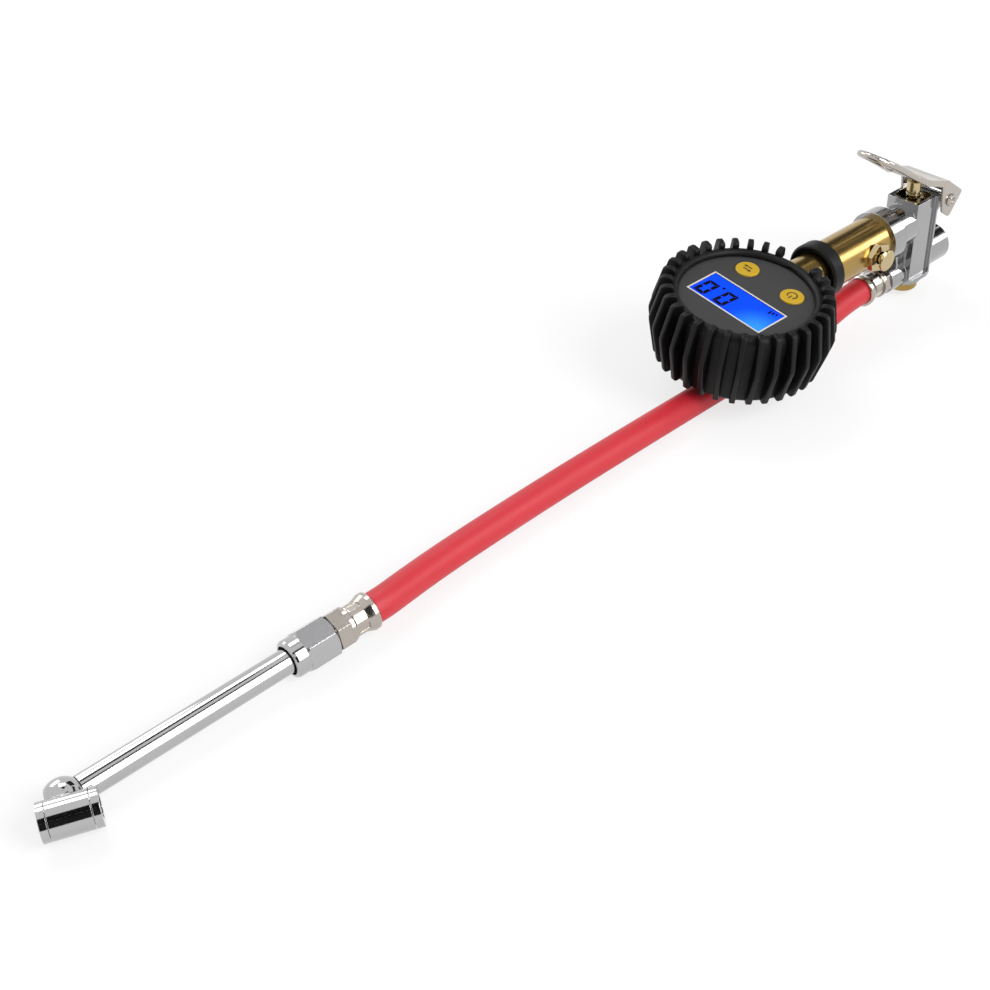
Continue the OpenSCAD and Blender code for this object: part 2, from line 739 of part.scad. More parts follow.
// Side outline of the web between the neck and the outlet boss
module web_side() {
    polygon([[body_x1 - 1, hose_z], [body_x1 + 6.4, hose_z], [body_x1 + 6.4, 3],
        [body_x1 + 9, 12], [body_x1 + 9, barrel_z], [body_x1 - 1, barrel_z]]);
}

// Pocket in one side of the web, three-cornered
module web_pocket(s) {
    x = body_x1 + 0.8;
    z = hose_z + outlet_r + 0.6;
    translate([0, s > 0 ? web_half + 1 : -web_half + 1.4, 0]) rotate([90, 0, 0])
        linear_extrude(height = 2.4) polygon([[x, z], [x + 4.4, z], [x + 5.6, 9.6], [x, 11]]);
}

module hinge_lug() {
    lug_r = 4;
    rotate([90, 0, 0]) translate([0, 0, -lug_w / 2]) linear_extrude(height = lug_w) {
        translate([pivot_x, pivot_z]) circle(r = lug_r);
        polygon([[pivot_x, pivot_z - lug_r], [body_x0 + 1, pivot_z - lug_r - 4],
            [body_x0 + 1, body_top - 0.5], [pivot_x, pivot_z + lug_r - 0.7]]);
    }
}

module valve_body() {
    color("#c9ccd0") difference() {
        union() {
            difference() {
                body_block();
                side_panel(1);
                side_panel(-1);
            }
            rod_x(1, body_x0 + 1, inlet_boss_r);
            translate([1, 0, 0]) rotate([0, -90, 0])
                cylinder(h = 1, r1 = inlet_boss_r, r2 = inlet_boss_r - 1);
            hinge_lug();
            at_barrel() rod_x(body_x1 - 1, collar_x0 + 1, neck_r);
            at_barrel() rod_x(collar_x0, collar_x1, collar_r);
            translate([0, 0, hose_z]) rod_x(body_x1 - 0.1, outlet_x1, outlet_r);
            difference() {
                rotate([90, 0, 0]) translate([0, 0, -web_half]) linear_extrude(height = 2 * web_half)
                    web_side();
                web_pocket(1);
                web_pocket(-1);
            }
            at_stem() translate([0, 0, base_z]) cylinder(h = base_h + 2, r = base_r);
        }
        // open top
        translate([stem_x, 0, recess_z]) linear_extrude(height = top_depth + 2)
            round_rect(body_len - 2 * top_wall, body_w - 2 * (top_wall + panel_depth), 1);
        // chambers on the stem's axis
        at_stem() {
            translate([0, 0, base_z - 1]) cylinder(h = seat_z - base_z + 1, r = chamber_r);
            translate([0, 0, seat_z - 1]) cylinder(h = seat_t + 2, r = seat_r);
            translate([0, 0, seat_z + seat_t]) cylinder(h = recess_z, r = outlet_chamber_r);
        }
        // air ways
        rod_x(-1, inlet_depth, inlet_r);
        rod_x(inlet_depth - e, inlet_depth + strainer_t, strainer_r + thread_gap);
        rod_x(inlet_depth - 1, stem_x, passage_r + 0.8);
        at_barrel() rod_x(stem_x, collar_x1, passage_r);
        at_barrel() rod_x(collar_x1 - collar_bore, collar_x1 + 1, collar_bore_r);
        translate([channel_x, 0, hose_z]) cylinder(h = barrel_z - hose_z, r = 1.8);
        translate([0, 0, hose_z]) rod_x(body_x1 + 2.5, outlet_x1 + 1, 5 + thread_gap);
        // hinge bore
        translate([pivot_x, 0, pivot_z]) rod_y(-body_w, body_w, pin_r + 0.02);
    }
}

module gland_nut() {
    color("#c9a24a") at_stem() difference() {
        union() {
            translate([0, 0, recess_z - 2.3]) cylinder(h = 2.4, r = outlet_chamber_r - thread_gap);
            translate([0, 0, recess_z]) cylinder(h = 2.8, r = 5 / cos(30), $fn = 6);
        }
        translate([0, 0, recess_z - 4]) cylinder(h = 10, r = stem_r + 0.08);
        translate([0, 0, recess_z - 3]) cylinder(h = 2.3, r = stem_r + 1.5);
    }
}

module gland_oring() {
    color("#1b1b1d") at_stem() translate([0, 0, recess_z - 1.45]) oring(stem_r + 0.78, 0.7);
}

// Points of the crown from the rim of the head to its top
crown_line = [for (i = [0:6]) let (a = rim_angle + i * (90 - rim_angle) / 6)
    [crown_r * cos(a), crown_z + crown_r * sin(a)]];

module plunger() {
    color("#c9a24a") at_stem() rotate_extrude() polygon(concat(
        [[0, seat_z - 0.2], [1.6, seat_z - 0.2], [1.6, recess_z - 8], [stem_r, recess_z - 7],
         [stem_r, head_low], [plunger_r - 0.3, head_low], [plunger_r, head_low + 0.3],
         [plunger_r, head_low + 1.6], [plunger_r - 0.4, head_low + 1.9],
         [plunger_r - 0.4, head_low + 2.4], [plunger_r, head_low + 2.7]],
        crown_line));
}

module poppet() {
    color("#c9a24a") at_stem() rotate_extrude() polygon([[0, seat_z - 5.2], [2, seat_z - 5.2],
        [2, seat_z - 3.8], [poppet_r, seat_z - 3.8], [poppet_r, seat_z - 0.9],
        [1.9, seat_z - 0.9], [1.9, seat_z - 0.2], [0, seat_z - 0.2]]);
}

module poppet_seal() {
    color("#1b1b1d") at_stem() translate([0, 0, seat_z - 0.9]) difference() {
        cylinder(h = 0.8, r = poppet_r - 0.1);
        translate([0, 0, -1]) cylinder(h = 3, r = 1.95);
    }
}

module valve_spring() {
    color("#c4c7cb") at_stem() translate([0, 0, spring_floor])
        coil(3, spring_wire, spring_turns, seat_z - 3.8 - spring_floor);
}

module bottom_cap() {
    color("#c9a24a") at_stem() difference() {
        union() {
            rotate_extrude() polygon(concat([[0, cap_low]],
                [for (a = [-90:15:0]) [cap_r - 2 + 2 * cos(a), cap_low + 2 + 2 * sin(a)]],
                [[cap_r, cap_top], [0, cap_top]]));
            translate([0, 0, cap_top - e]) cylinder(h = spigot_h, r = chamber_r - thread_gap);
        }
        translate([0, 0, spring_floor]) cylinder(h = cap_h + spigot_h, r = 4);
        translate([0, 0, cap_low - 1]) cube([9, 1.4, 3], center = true);
    }
}

module cap_gasket() {
    color("#1b1b1d") at_stem() translate([0, 0, cap_top]) difference() {
        cylinder(h = gasket_t, r = cap_r - 0.4);
        translate([0, 0, -1]) cylinder(h = 3, r = chamber_r + thread_gap);
    }
}

module inlet_strainer() {
    color("#9a9da1") difference() {
        rod_x(inlet_depth, inlet_depth + strainer_t, strainer_r);
        for (i = [-2:2], j = [-2:2]) if (abs(i) + abs(j) < 4)
            translate([0, i * 1.8, j * 1.8])
                rod_x(inlet_depth - 1, inlet_depth + strainer_t + 1, 0.55);
    }
}

module hinge_pin() {
    head_t = 1.2;
    end_y = lever_w / 2 + 0.15;
    color("#b4b7bb") translate([pivot_x, 0, pivot_z]) difference() {
        union() {
            rod_y(-end_y - e, end_y + e, pin_r);
            for (s = [0, 180]) rotate([s, 0, 0]) translate([0, end_y, 0]) rotate([-90, 0, 0])
                cylinder(h = head_t, r1 = pin_r + 1, r2 = pin_r + 0.5);
        }
        for (s = [0, 180]) rotate([s, 0, 0]) translate([0, end_y + 0.5, 0]) rotate([-90, 0, 0])
            cylinder(h = head_t, r1 = pin_r - 0.7, r2 = pin_r - 0.3);
    }
}

// Points of the lever's underside in its side view: pad, riser, finger loop
pad_dir = [cos(lever_slope), sin(lever_slope)];
pad_up = [-sin(lever_slope), cos(lever_slope)];
riser_slope = lever_slope + riser_bend;
riser_dir = [cos(riser_slope), sin(riser_slope)];
riser_up = [-sin(riser_slope), cos(riser_slope)];
loop_slope = lever_slope + loop_bend;
loop_dir = [cos(loop_slope), sin(loop_slope)];
loop_up = [-sin(loop_slope), cos(loop_slope)];
pivot = [pivot_x, pivot_z];
pad_rear = pivot + pad_rise * pad_up + pad_start * pad_dir;
pad_front = pivot + pad_rise * pad_up + pad_len * pad_dir;
riser_front = pad_front + riser_len * riser_dir;
loop_front = riser_front + loop_len * loop_dir;
narrow_x = pad_front[0] - 1;           // here the lever begins to narrow

// Side outline of the sheet, with a round nose at the tip
module lever_sheet() {
    polygon([pad_rear, pad_front, riser_front, loop_front, loop_front + loop_t * loop_up,
        riser_front + loop_t * (riser_up + loop_up) / 2, pad_front + lever_t * (pad_up + riser_up) / 2,
        pad_rear + lever_t * pad_up]);
    translate(loop_front + loop_t / 2 * loop_up) circle(d = loop_t);
}

// Side outline of one folded edge with its ear around the hinge pin
module lever_edge() {
    top = lever_t * pad_up;
    edge = -flange_depth * pad_up;
    polygon([pad_rear + top, pad_front + top, pad_front + edge, pad_rear + 4.5 * pad_dir + edge,
        pivot + [5.4, -3.4], pivot + [4.8, -4.8], pivot + [0.2, -8.3], pivot + [-1.2, -8.4],
        pivot + [-8.4, 0.6], pivot + [-8.7, 1.4], pivot + [-8.2, 2.4]]);
}

// Outline of the lever from above: wide over the body, narrow at the loop
module lever_plan() {
    x_wide = pad_rear[0] - 4;
    x_tip = loop_front[0] + loop_t / 2;
    nose_r = loop_w / 2;
    polygon([[x_wide, -lever_w / 2], [narrow_x, -lever_w / 2], [narrow_x + narrow_len, -loop_w / 2],
        [x_tip - nose_r, -loop_w / 2], [x_tip - nose_r, loop_w / 2], [narrow_x + narrow_len, loop_w / 2],
        [narrow_x, lever_w / 2], [x_wide, lever_w / 2]]);
    translate([x_tip - nose_r, 0]) circle(r = nose_r);
}

module trigger_lever() {
    tip = loop_front[0] + loop_t / 2 - (loop_w - finger_w) / 2;
    color("#cfd0d0") difference() {
        union() {
            intersection() {
                rotate([90, 0, 0]) translate([0, 0, -lever_w / 2]) linear_extrude(height = lever_w)
                    lever_sheet();
                linear_extrude(height = beyond) lever_plan();
            }
            for (s = [-1, 1]) translate([0, s * (lever_w - ear_t) / 2 + ear_t / 2, 0])
                rotate([90, 0, 0]) linear_extrude(height = ear_t) intersection() {
                    lever_edge();
                    translate([-beyond, 0]) square([narrow_x + beyond, beyond]);
                }
        }
        linear_extrude(height = beyond) slot(tip - finger_len, tip, finger_w);
        translate([pivot_x, 0, pivot_z]) rod_y(-lever_w, lever_w, pin_r + 0.05);
    }
}

// ---------------------------------------------------------------- hose line

// Crimped ferrule along +X from its mouth at x = 0, with pressed flats at its waist
module ferrule() {
    len = ferrule_len;
    inner = hose_r + 0.15;
    difference() {
        rotate([0, 90, 0]) rotate_extrude() polygon([[inner, 0], [ferrule_r - 0.5, 0],
            [ferrule_r, 0.5], [ferrule_r, 2], [ferrule_r - 0.3, 2.8], [waist_r, 5],
            [waist_r, len - 0.8], [waist_r - 0.4, len], [3.3, len], [3.3, hose_seat], [inner, hose_seat]]);
        for (a = [0:45:315]) rotate([a, 0, 0])
            translate([4.6, -1.3, waist_r - 0.35]) cube([len - 5.8, 2.6, 3]);
    }
}

// Insert along +X: barb inside the ferrule, a bead, a hexagon and a threaded end
module insert(flats, hex_len, thread_len) {
    x1 = ferrule_len + bead_w;
    x2 = x1 + hex_len;
    difference() {
        union() {
            rod_x(hose_seat + slip_gap, x1, 3.25);
            rod_x(ferrule_len + thread_gap, x1 + e, waist_r + 0.7);
            hex_x(x1, x2, flats, 13);
            rod_x(x2 - e, x2 + thread_len, 5);
        }
        rod_x(0, x2 + thread_len + 1, 2);
    }
}

// From the mouth of the rear ferrule back toward the valve
module at_rear() { translate([hose_start[0] + hose_seat, 0, hose_z]) mirror([1, 0, 0]) children(); }

module rear_insert() { color("#c8c4be") at_rear() insert(rear_hex, rear_hex_len, outlet_len - 2.7); }
module rear_ferrule() { color("#c8c4be") at_rear() ferrule(); }

front_axis = [cos(front_rise) * cos(front_turn), cos(front_rise) * sin(front_turn), sin(front_rise)];
hose_end = front_at + hose_seat * front_axis;
hose_path = concat([hose_start, hose_start + [hose_r, 0, 0]], hose_route,
    [front_at - hose_r * front_axis, hose_end]);

module hose() {
    color("#d8323e") swept_tube(hose_path, hose_r, 12);
}

module front_ferrule() { color("#c8c4be") at_front() ferrule(); }
module front_insert() {
    color("#c8c4be") at_front() insert(front_hex, front_hex_len, spigot_s - nut_s + 0.7);
}

module coupling_washer() {
    color("#1b1b1d") at_front() difference() {
        rod_x(spigot_s + thread_gap, spigot_s + washer_t, 5);
        rod_x(0, tube_s + 5, 2.6);
    }
}

module coupling_nut() {
    shoulder_s = tube_s + tube_flange + slip_gap;
    color("#d0d3d7") at_front() difference() {
        union() {
            intersection() {
                hex_x(nut_s, collar_s, nut_hex, 13);
                translate([nut_s, 0, 0]) rotate([0, 90, 0]) rotate_extrude() polygon([[0, 0],
                    [nut_hex / 2, 0], [nut_hex / 2 + 1.3, 0.9], [nut_hex / 2 + 1.3, nut_len - 0.9],
                    [nut_hex / 2, nut_len], [0, nut_len]]);
            }
            translate([collar_s - e, 0, 0]) rotate([0, 90, 0]) rotate_extrude() polygon([[0, 0],
                [nut_collar_r, 0], [nut_collar_r, nut_collar_len - 1.2],
                [nut_collar_r - 0.4, nut_collar_len - 0.4], [nut_collar_r - 1.1, nut_collar_len],
                [0, nut_collar_len]]);
        }
        rod_x(nut_s - 1, shoulder_s, 5 + thread_gap);
        rod_x(nut_s, nut_end_s + 1, tube_r + slip_gap);
        rod_x(nut_end_s - nut_recess, nut_end_s + 1, tube_r + 0.95);
    }
}

module chuck_tube() {
    color("#d0d3d7") at_front() difference() {
        union() {
            rod_x(tube_s + thread_gap, dome_s - dome_r + 1.4, tube_r);
            rod_x(tube_s + thread_gap, tube_s + tube_flange, 5);
        }
        rod_x(tube_s - 1, dome_s, 2.5);
    }
}

// ---------------------------------------------------------------- chuck

// Round holes through the dome from the tube into the head
module dome_ways() {
    at_front() rod_x(dome_s - dome_r - 2, dome_s - dome_r + 1.5, tube_r + thread_gap);
    at_front() rod_x(dome_s - dome_r, dome_s, 2);
    translate(dome_at + [head_ahead / 2, 0, head_lift / 2]) rod_y(-1, head_side, 1.8);
}

module chuck_head() {
    color("#c9ccd0") difference() {
        union() {
            at_head() rod_x(-core_half, core_half, head_r);
            translate(dome_at) sphere(r = dome_r);
        }
        dome_ways();
        at_head() {
            rod_x(-core_half - 1, core_half + 1, chamber_in_r);
            for (s = [0, 180]) rotate([0, 0, s]) {
                rod_x(seal_in, core_half + 1, seal_r);
                rod_x(core_half, core_half + beyond, head_r + dome_r);
            }
        }
    }
}

module foot_rings() {
    color("#c9ccd0") at_head() for (s = [0, 180]) rotate([0, 0, s]) difference() {
        union() {
            rod_x(core_half + 0.25, head_len / 2, head_r);
            rod_x(socket_in + thread_gap, core_half + 0.3, seal_r - thread_gap);
        }
        rod_x(0, head_len, socket_r);
    }
}

module foot_seals() {
    color("#1b1b1d") at_head() for (s = [0, 180]) rotate([0, 0, s]) difference() {
        rod_x(seal_in + thread_gap, socket_in, seal_r - thread_gap);
        rod_x(0, head_len, 1.9);
    }
}

// Pin that presses the tyre valve's core, with its sealing disc
module foot_pin() {
    rod_x(pin_disc_at, pin_disc_at + pin_disc_t, chamber_in_r - 0.35);
    rod_x(pin_disc_at, socket_in - 0.2, 1.1);
}

module foot_pin_rear() { color("#c9a24a") at_head() rotate([0, 0, 180]) foot_pin(); }
module foot_pin_front() { color("#c9a24a") at_head() foot_pin(); }

module foot_spring() {
    color("#c4c7cb") at_head() translate([-pin_disc_at, 0, 0]) rotate([0, 90, 0])
        coil(1.9, 0.22, 4, 2 * pin_disc_at);
}

gauge_boot();
gauge_case();
face_plate();
lcd_lens();
lcd_module();
button_on();
button_unit();
button_switches();
circuit_board();
pressure_sensor();
batteries();
battery_contacts();
battery_cover();
battery_cover_screw();
case_screws();
stem_nut();
barrel();
barrel_ring();
barrel_oring();
bleed_body();
bleed_button();
bleed_seal();
bleed_spring();
valve_body();
trigger_lever();
hinge_pin();
gland_nut();
gland_oring();
plunger();
poppet();
poppet_seal();
valve_spring();
bottom_cap();
cap_gasket();
inlet_strainer();
rear_insert();
rear_ferrule();
hose();
front_ferrule();
front_insert();
coupling_washer();
coupling_nut();
chuck_tube();
chuck_head();
foot_rings();
foot_seals();
foot_pin_rear();
foot_pin_front();
foot_spring();
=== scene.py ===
"""Dresses the frame of a trigger tyre inflator: hose, boot, lever, display and finishes."""

import logging
import math
from dataclasses import dataclass, field
from enum import Enum
from typing import Callable, Iterable, Sequence

import bmesh
import bpy
from mathutils import Matrix, Vector


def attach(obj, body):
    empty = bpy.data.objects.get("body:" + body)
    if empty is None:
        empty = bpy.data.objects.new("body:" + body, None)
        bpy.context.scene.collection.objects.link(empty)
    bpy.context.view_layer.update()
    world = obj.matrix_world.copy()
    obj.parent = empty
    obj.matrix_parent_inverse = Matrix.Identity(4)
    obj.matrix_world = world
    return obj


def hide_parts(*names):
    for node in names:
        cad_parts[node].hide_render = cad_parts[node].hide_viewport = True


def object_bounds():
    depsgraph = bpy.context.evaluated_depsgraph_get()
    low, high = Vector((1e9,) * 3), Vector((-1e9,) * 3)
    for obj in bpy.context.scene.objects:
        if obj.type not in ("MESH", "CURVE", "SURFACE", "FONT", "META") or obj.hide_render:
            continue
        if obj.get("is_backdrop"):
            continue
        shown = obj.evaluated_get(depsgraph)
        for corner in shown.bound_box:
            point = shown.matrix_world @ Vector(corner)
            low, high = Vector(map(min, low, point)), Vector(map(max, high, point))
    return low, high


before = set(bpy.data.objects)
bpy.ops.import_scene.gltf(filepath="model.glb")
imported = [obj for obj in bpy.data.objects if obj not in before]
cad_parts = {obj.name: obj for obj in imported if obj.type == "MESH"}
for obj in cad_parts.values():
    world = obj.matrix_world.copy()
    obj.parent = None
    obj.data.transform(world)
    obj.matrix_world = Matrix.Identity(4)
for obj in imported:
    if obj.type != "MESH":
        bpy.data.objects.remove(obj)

LOG = logging.getLogger("inflator")
MM = 0.001
# Noise values between which most of a patch pattern lies
PATCH_SPAN = (0.3, 0.7)
# Smoothest gloss that a finish may reach
LEAST_ROUGHNESS = 0.02
# Height of a texture's relief as a share of its grain or ring
GRAIN_RELIEF = 0.3
RING_RELIEF = 0.2
# Roundness of a bevel, where 0.5 is a circle's arc
BEVEL_PROFILE = 0.6
# How much sharper than a hard edge a crease has to be after bevelling, in degrees
CREASE_MARGIN_DEG = 10
# Room between the lowest piece and the floor, in metres
FLOOR_GAP = 0.0001

Point = tuple[float, float, float]
Flat = tuple[float, float]


class Body(Enum):
    """The moving groups of the inflator."""

    INFLATOR = "inflator"
    LEVER = "lever"
    ON_BUTTON = "on_button"
    UNIT_BUTTON = "unit_button"


# ------------------------------------------------------------------ colour and nodes


def linear(code: str) -> tuple[float, float, float, float]:
    """Turns an sRGB hex colour to linear light.

    Args:
        code: Six hex digits, with or without a leading #.

    Returns:
        Red, green, blue and an alpha of 1.
    """
    digits = code.lstrip("#")
    parts = [int(digits[i : i + 2], 16) / 255 for i in (0, 2, 4)]
    r, g, b = (c / 12.92 if c <= 0.04045 else ((c + 0.055) / 1.055) ** 2.4 for c in parts)
    return (r, g, b, 1.0)


def per_mm(size_mm: float) -> float:
    """Texture scale at which one feature is size_mm wide."""
    return 1.0 / (size_mm * MM)


def add_node(
    tree: bpy.types.NodeTree, kind: str, inputs: dict | None = None, **settings: object
) -> bpy.types.Node:
    """Adds one node with its settings, values and links.

    Args:
        tree: The material's or world's node tree.
        kind: Blender's name of the node.
        inputs: Socket name or number to a value, or to an output socket to link.
        **settings: Properties of the node itself.

    Returns:
        The new node.
    """
    made = tree.nodes.new(kind)
    for name, value in settings.items():
        setattr(made, name, value)
    for name, value in (inputs or {}).items():
        if isinstance(value, bpy.types.NodeSocket):
            tree.links.new(value, made.inputs[name])
        else:
            made.inputs[name].default_value = value
    return made


# ------------------------------------------------------------------ finishes


@dataclass(frozen=True)
class Finish:
    """A real material with the way its surface was made.

    Attributes:
        label: The material's name in Blender.
        colour: Main colour in sRGB hex.
        second: Colour that the surface varies towards, in sRGB hex.
        metallic: 1 for bare or plated metal.
        roughness: Middle of the roughness range.
        spread: Half the roughness range.
        grain_mm: Size of the surface's fine texture.
        grain_depth: Strength of the fine texture's bump.
        patch_mm: Size of the patches in which colour and gloss vary.
        stretch: How the fine texture is drawn out along X, Y and Z.
        edge_mm: Radius that softens the hard edges.
        ior: Index of refraction of what is not metal.
        specular: Strength of the mirror part of what is not metal; 0.5 is plain.
        coat: Weight of a clear coat.
        coat_roughness: Roughness of the clear coat.
    """

    label: str
    colour: str
    second: str
    metallic: float = 0.0
    roughness: float = 0.5
    spread: float = 0.06
    grain_mm: float = 0.6
    grain_depth: float = 0.1
    patch_mm: float = 14.0
    stretch: Point = (1.0, 1.0, 1.0)
    edge_mm: float = 0.25
    ior: float = 1.5
    specular: float = 0.5
    coat: float = 0.0
    coat_roughness: float = 0.1

    def material(self) -> bpy.types.Material:
        """Makes the finish's Blender material, once.

        Returns:
            The material.
        """
        known = bpy.data.materials.get(self.label)
        if known is not None:
            return known
        made = bpy.data.materials.new(self.label)
        made.use_nodes = True
        tree = made.node_tree
        tree.nodes.clear()
        shader = add_node(
            tree,
            "ShaderNodeBsdfPrincipled",
            {
                "Metallic": self.metallic,
                "IOR": self.ior,
                "Specular IOR Level": self.specular,
                "Coat Weight": self.coat,
                "Coat Roughness": self.coat_roughness,
            },
        )
        self.paint(tree, shader)
        add_node(tree, "ShaderNodeOutputMaterial", {"Surface": shader.outputs["BSDF"]})
        made.diffuse_color = linear(self.colour)
        return made

    def paint(self, tree: bpy.types.NodeTree, shader: bpy.types.Node) -> None:
        """Links colour, gloss and fine texture to the shader.

        Args:
            tree: The material's node tree.
            shader: Its Principled node.
        """
        where = add_node(tree, "ShaderNodeTexCoord").outputs["Object"]
        patches = add_node(
            tree,
            "ShaderNodeTexNoise",
            {"Vector": where, "Scale": per_mm(self.patch_mm), "Detail": 4.0, "Roughness": 0.6},
        )
        tint = add_node(
            tree,
            "ShaderNodeMix",
            {0: patches.outputs["Fac"], 6: linear(self.colour), 7: linear(self.second)},
            data_type="RGBA",
        )
        tree.links.new(tint.outputs[2], shader.inputs["Base Color"])
        gloss = add_node(
            tree,
            "ShaderNodeMapRange",
            {
                "Value": patches.outputs["Fac"],
                "From Min": PATCH_SPAN[0],
                "From Max": PATCH_SPAN[1],
                "To Min": max(self.roughness - self.spread, LEAST_ROUGHNESS),
                "To Max": self.roughness + self.spread,
            },
        )
        tree.links.new(gloss.outputs["Result"], shader.inputs["Roughness"])
        drawn = add_node(tree, "ShaderNodeMapping", {"Vector": where, "Scale": self.stretch})
        grain = add_node(
            tree,
            "ShaderNodeTexNoise",
            {
                "Vector": drawn.outputs["Vector"],
                "Scale": per_mm(self.grain_mm),
                "Detail": 3.0,
                "Roughness": 0.55,
            },
        )
        soft = add_node(tree, "ShaderNodeBevel", {"Radius": self.edge_mm * MM}, samples=4)
        bump = add_node(
            tree,
            "ShaderNodeBump",
            {
                "Height": grain.outputs["Fac"],
                "Strength": self.grain_depth,
                "Distance": self.grain_mm * MM * GRAIN_RELIEF,
                "Normal": soft.outputs["Normal"],
            },
        )
        tree.links.new(bump.outputs["Normal"], shader.inputs["Normal"])


@dataclass(frozen=True)
class BacklitGlass(Finish):
    """Blue backlit display: the light spreads from the end with the lamp.

    Attributes:
        bright: Colour next to the lamp, in sRGB hex.
        glow: Strength of the display's own light.
        lamp: Place of the lamp in the row frame, in metres.
        reach_mm: Distance at which the lamp's spot has faded.
    """

    bright: str = "#2f88ff"
    glow: float = 0.32
    lamp: Point = (0.153, 0.019, 0.0)
    reach_mm: float = 17.0

    def paint(self, tree: bpy.types.NodeTree, shader: bpy.types.Node) -> None:
        """Adds the lamp's soft spot to the plain finish.

        Args:
            tree: The material's node tree.
            shader: Its Principled node.
        """
        super().paint(tree, shader)
        where = add_node(tree, "ShaderNodeTexCoord").outputs["Object"]
        away = add_node(
            tree,
            "ShaderNodeVectorMath",
            {0: where, 1: self.lamp},
            operation="SUBTRACT",
        )
        level = add_node(
            tree,
            "ShaderNodeVectorMath",
            {0: away.outputs["Vector"], 1: (1.0, 1.0, 0.0)},
            operation="MULTIPLY",
        )
        gap = add_node(
            tree, "ShaderNodeVectorMath", {0: level.outputs["Vector"]}, operation="LENGTH"
        )
        fade = add_node(
            tree,
            "ShaderNodeMapRange",
            {
                "Value": gap.outputs["Value"],
                "From Max": self.reach_mm * MM,
                "To Min": 1.0,
                "To Max": 0.0,
            },
            interpolation_type="SMOOTHSTEP",
        )
        light = add_node(
            tree,
            "ShaderNodeMix",
            {0: fade.outputs["Result"], 6: linear(self.colour), 7: linear(self.bright)},
            data_type="RGBA",
        )
        tree.links.new(light.outputs[2], shader.inputs["Base Color"])
        tree.links.new(light.outputs[2], shader.inputs["Emission Color"])
        shader.inputs["Emission Strength"].default_value = self.glow


@dataclass(frozen=True)
class TurnedMetal(Finish):
    """Metal turned on a lathe: fine rings round the tool's axis cross the gloss.

    Attributes:
        ring_mm: Spacing of the rings, drawn as coarse as they need to show.
        ring_depth: Strength of the rings' bump.
        ring_stretch: How the rings' pattern is drawn out along X, Y and Z.
    """

    ring_mm: float = 0.9
    ring_depth: float = 0.04
    ring_stretch: Point = (1.0, 0.03, 0.03)

    def paint(self, tree: bpy.types.NodeTree, shader: bpy.types.Node) -> None:
        """Adds the cutter's rings on top of the plain finish.

        Args:
            tree: The material's node tree.
            shader: Its Principled node.
        """
        super().paint(tree, shader)
        where = add_node(tree, "ShaderNodeTexCoord").outputs["Object"]
        flat = add_node(tree, "ShaderNodeMapping", {"Vector": where, "Scale": self.ring_stretch})
        rings = add_node(
            tree,
            "ShaderNodeTexNoise",
            {"Vector": flat.outputs["Vector"], "Scale": per_mm(self.ring_mm), "Detail": 2.0},
        )
        under = shader.inputs["Normal"].links[0].from_socket
        bump = add_node(
            tree,
            "ShaderNodeBump",
            {
                "Height": rings.outputs["Fac"],
                "Strength": self.ring_depth,
                "Distance": self.ring_mm * MM * RING_RELIEF,
                "Normal": under,
            },
        )
        tree.links.new(bump.outputs["Normal"], shader.inputs["Normal"])


# Vulcanised rubber, moulded: dull black with a faint grey bloom and a soft sheen
MOULDED_RUBBER = Finish(
    "vulcanised_rubber_moulded", "#080809", "#0e0e0f",
    roughness=0.46, spread=0.06, grain_mm=0.5, grain_depth=0.1, patch_mm=9, edge_mm=0.4, ior=1.52,
    specular=0.2,
)
# ABS, moulded with a fine spark texture: even charcoal, hardly any gloss
MOULDED_ABS = Finish(
    "ABS_moulded_charcoal", "#363637", "#3a3a3b",
    roughness=0.55, spread=0.04, grain_mm=0.35, grain_depth=0.06, patch_mm=20, ior=1.53,
    specular=0.22,
)
# ABS, moulded darker for the case and its battery cover
CASE_ABS = Finish(
    "ABS_moulded_black", "#1f2022", "#28292c",
    roughness=0.5, spread=0.05, grain_mm=0.4, grain_depth=0.15, patch_mm=16, ior=1.53,
)
# Acrylic over a blue backlight: saturated, brighter by its lamp, with a glossy top
BACKLIT_ACRYLIC = BacklitGlass(
    "acrylic_backlit_blue", "#0a42ff", "#0c4aff",
    roughness=0.16, spread=0.02, grain_mm=3, grain_depth=0.02, patch_mm=30, ior=1.49, specular=0.12,
)
# Liquid crystal shown black: flat, faintly blue
CRYSTAL_BLACK = Finish(
    "liquid_crystal_black", "#030308", "#06060d",
    roughness=0.35, spread=0.03, grain_mm=1.5, grain_depth=0.02, patch_mm=6, specular=0.1,
)
# Polycarbonate trim, moulded: cream white frame of the display
CREAM_TRIM = Finish(
    "polycarbonate_moulded_cream", "#e2ddcf", "#d3cdbd",
    roughness=0.42, grain_mm=0.8, grain_depth=0.05, patch_mm=8, ior=1.58,
)
# ABS, moulded and polished: warm yellow keys with a wet highlight
KEY_YELLOW = Finish(
    "ABS_polished_yellow", "#c4a226", "#b99520",
    roughness=0.32, spread=0.04, grain_mm=1.2, grain_depth=0.02, patch_mm=5, ior=1.53, specular=0.35,
)
# Printed ink: thin dark olive on the yellow keys
KEY_INK = Finish(
    "pad_printing_ink_dark", "#4a3b12", "#3c3010",
    roughness=0.5, grain_mm=0.6, grain_depth=0.1, patch_mm=3,
)
# Brass, turned and lacquered: deep gold, soft long highlights, fine rings
LACQUERED_BRASS = TurnedMetal(
    "brass_turned_lacquered", "#ae9257", "#a4874c",
    metallic=1, roughness=0.22, spread=0.03, grain_mm=0.5, grain_depth=0.03, patch_mm=22,
    stretch=(1, 0.35, 0.35), coat=0.12, coat_roughness=0.12,
)
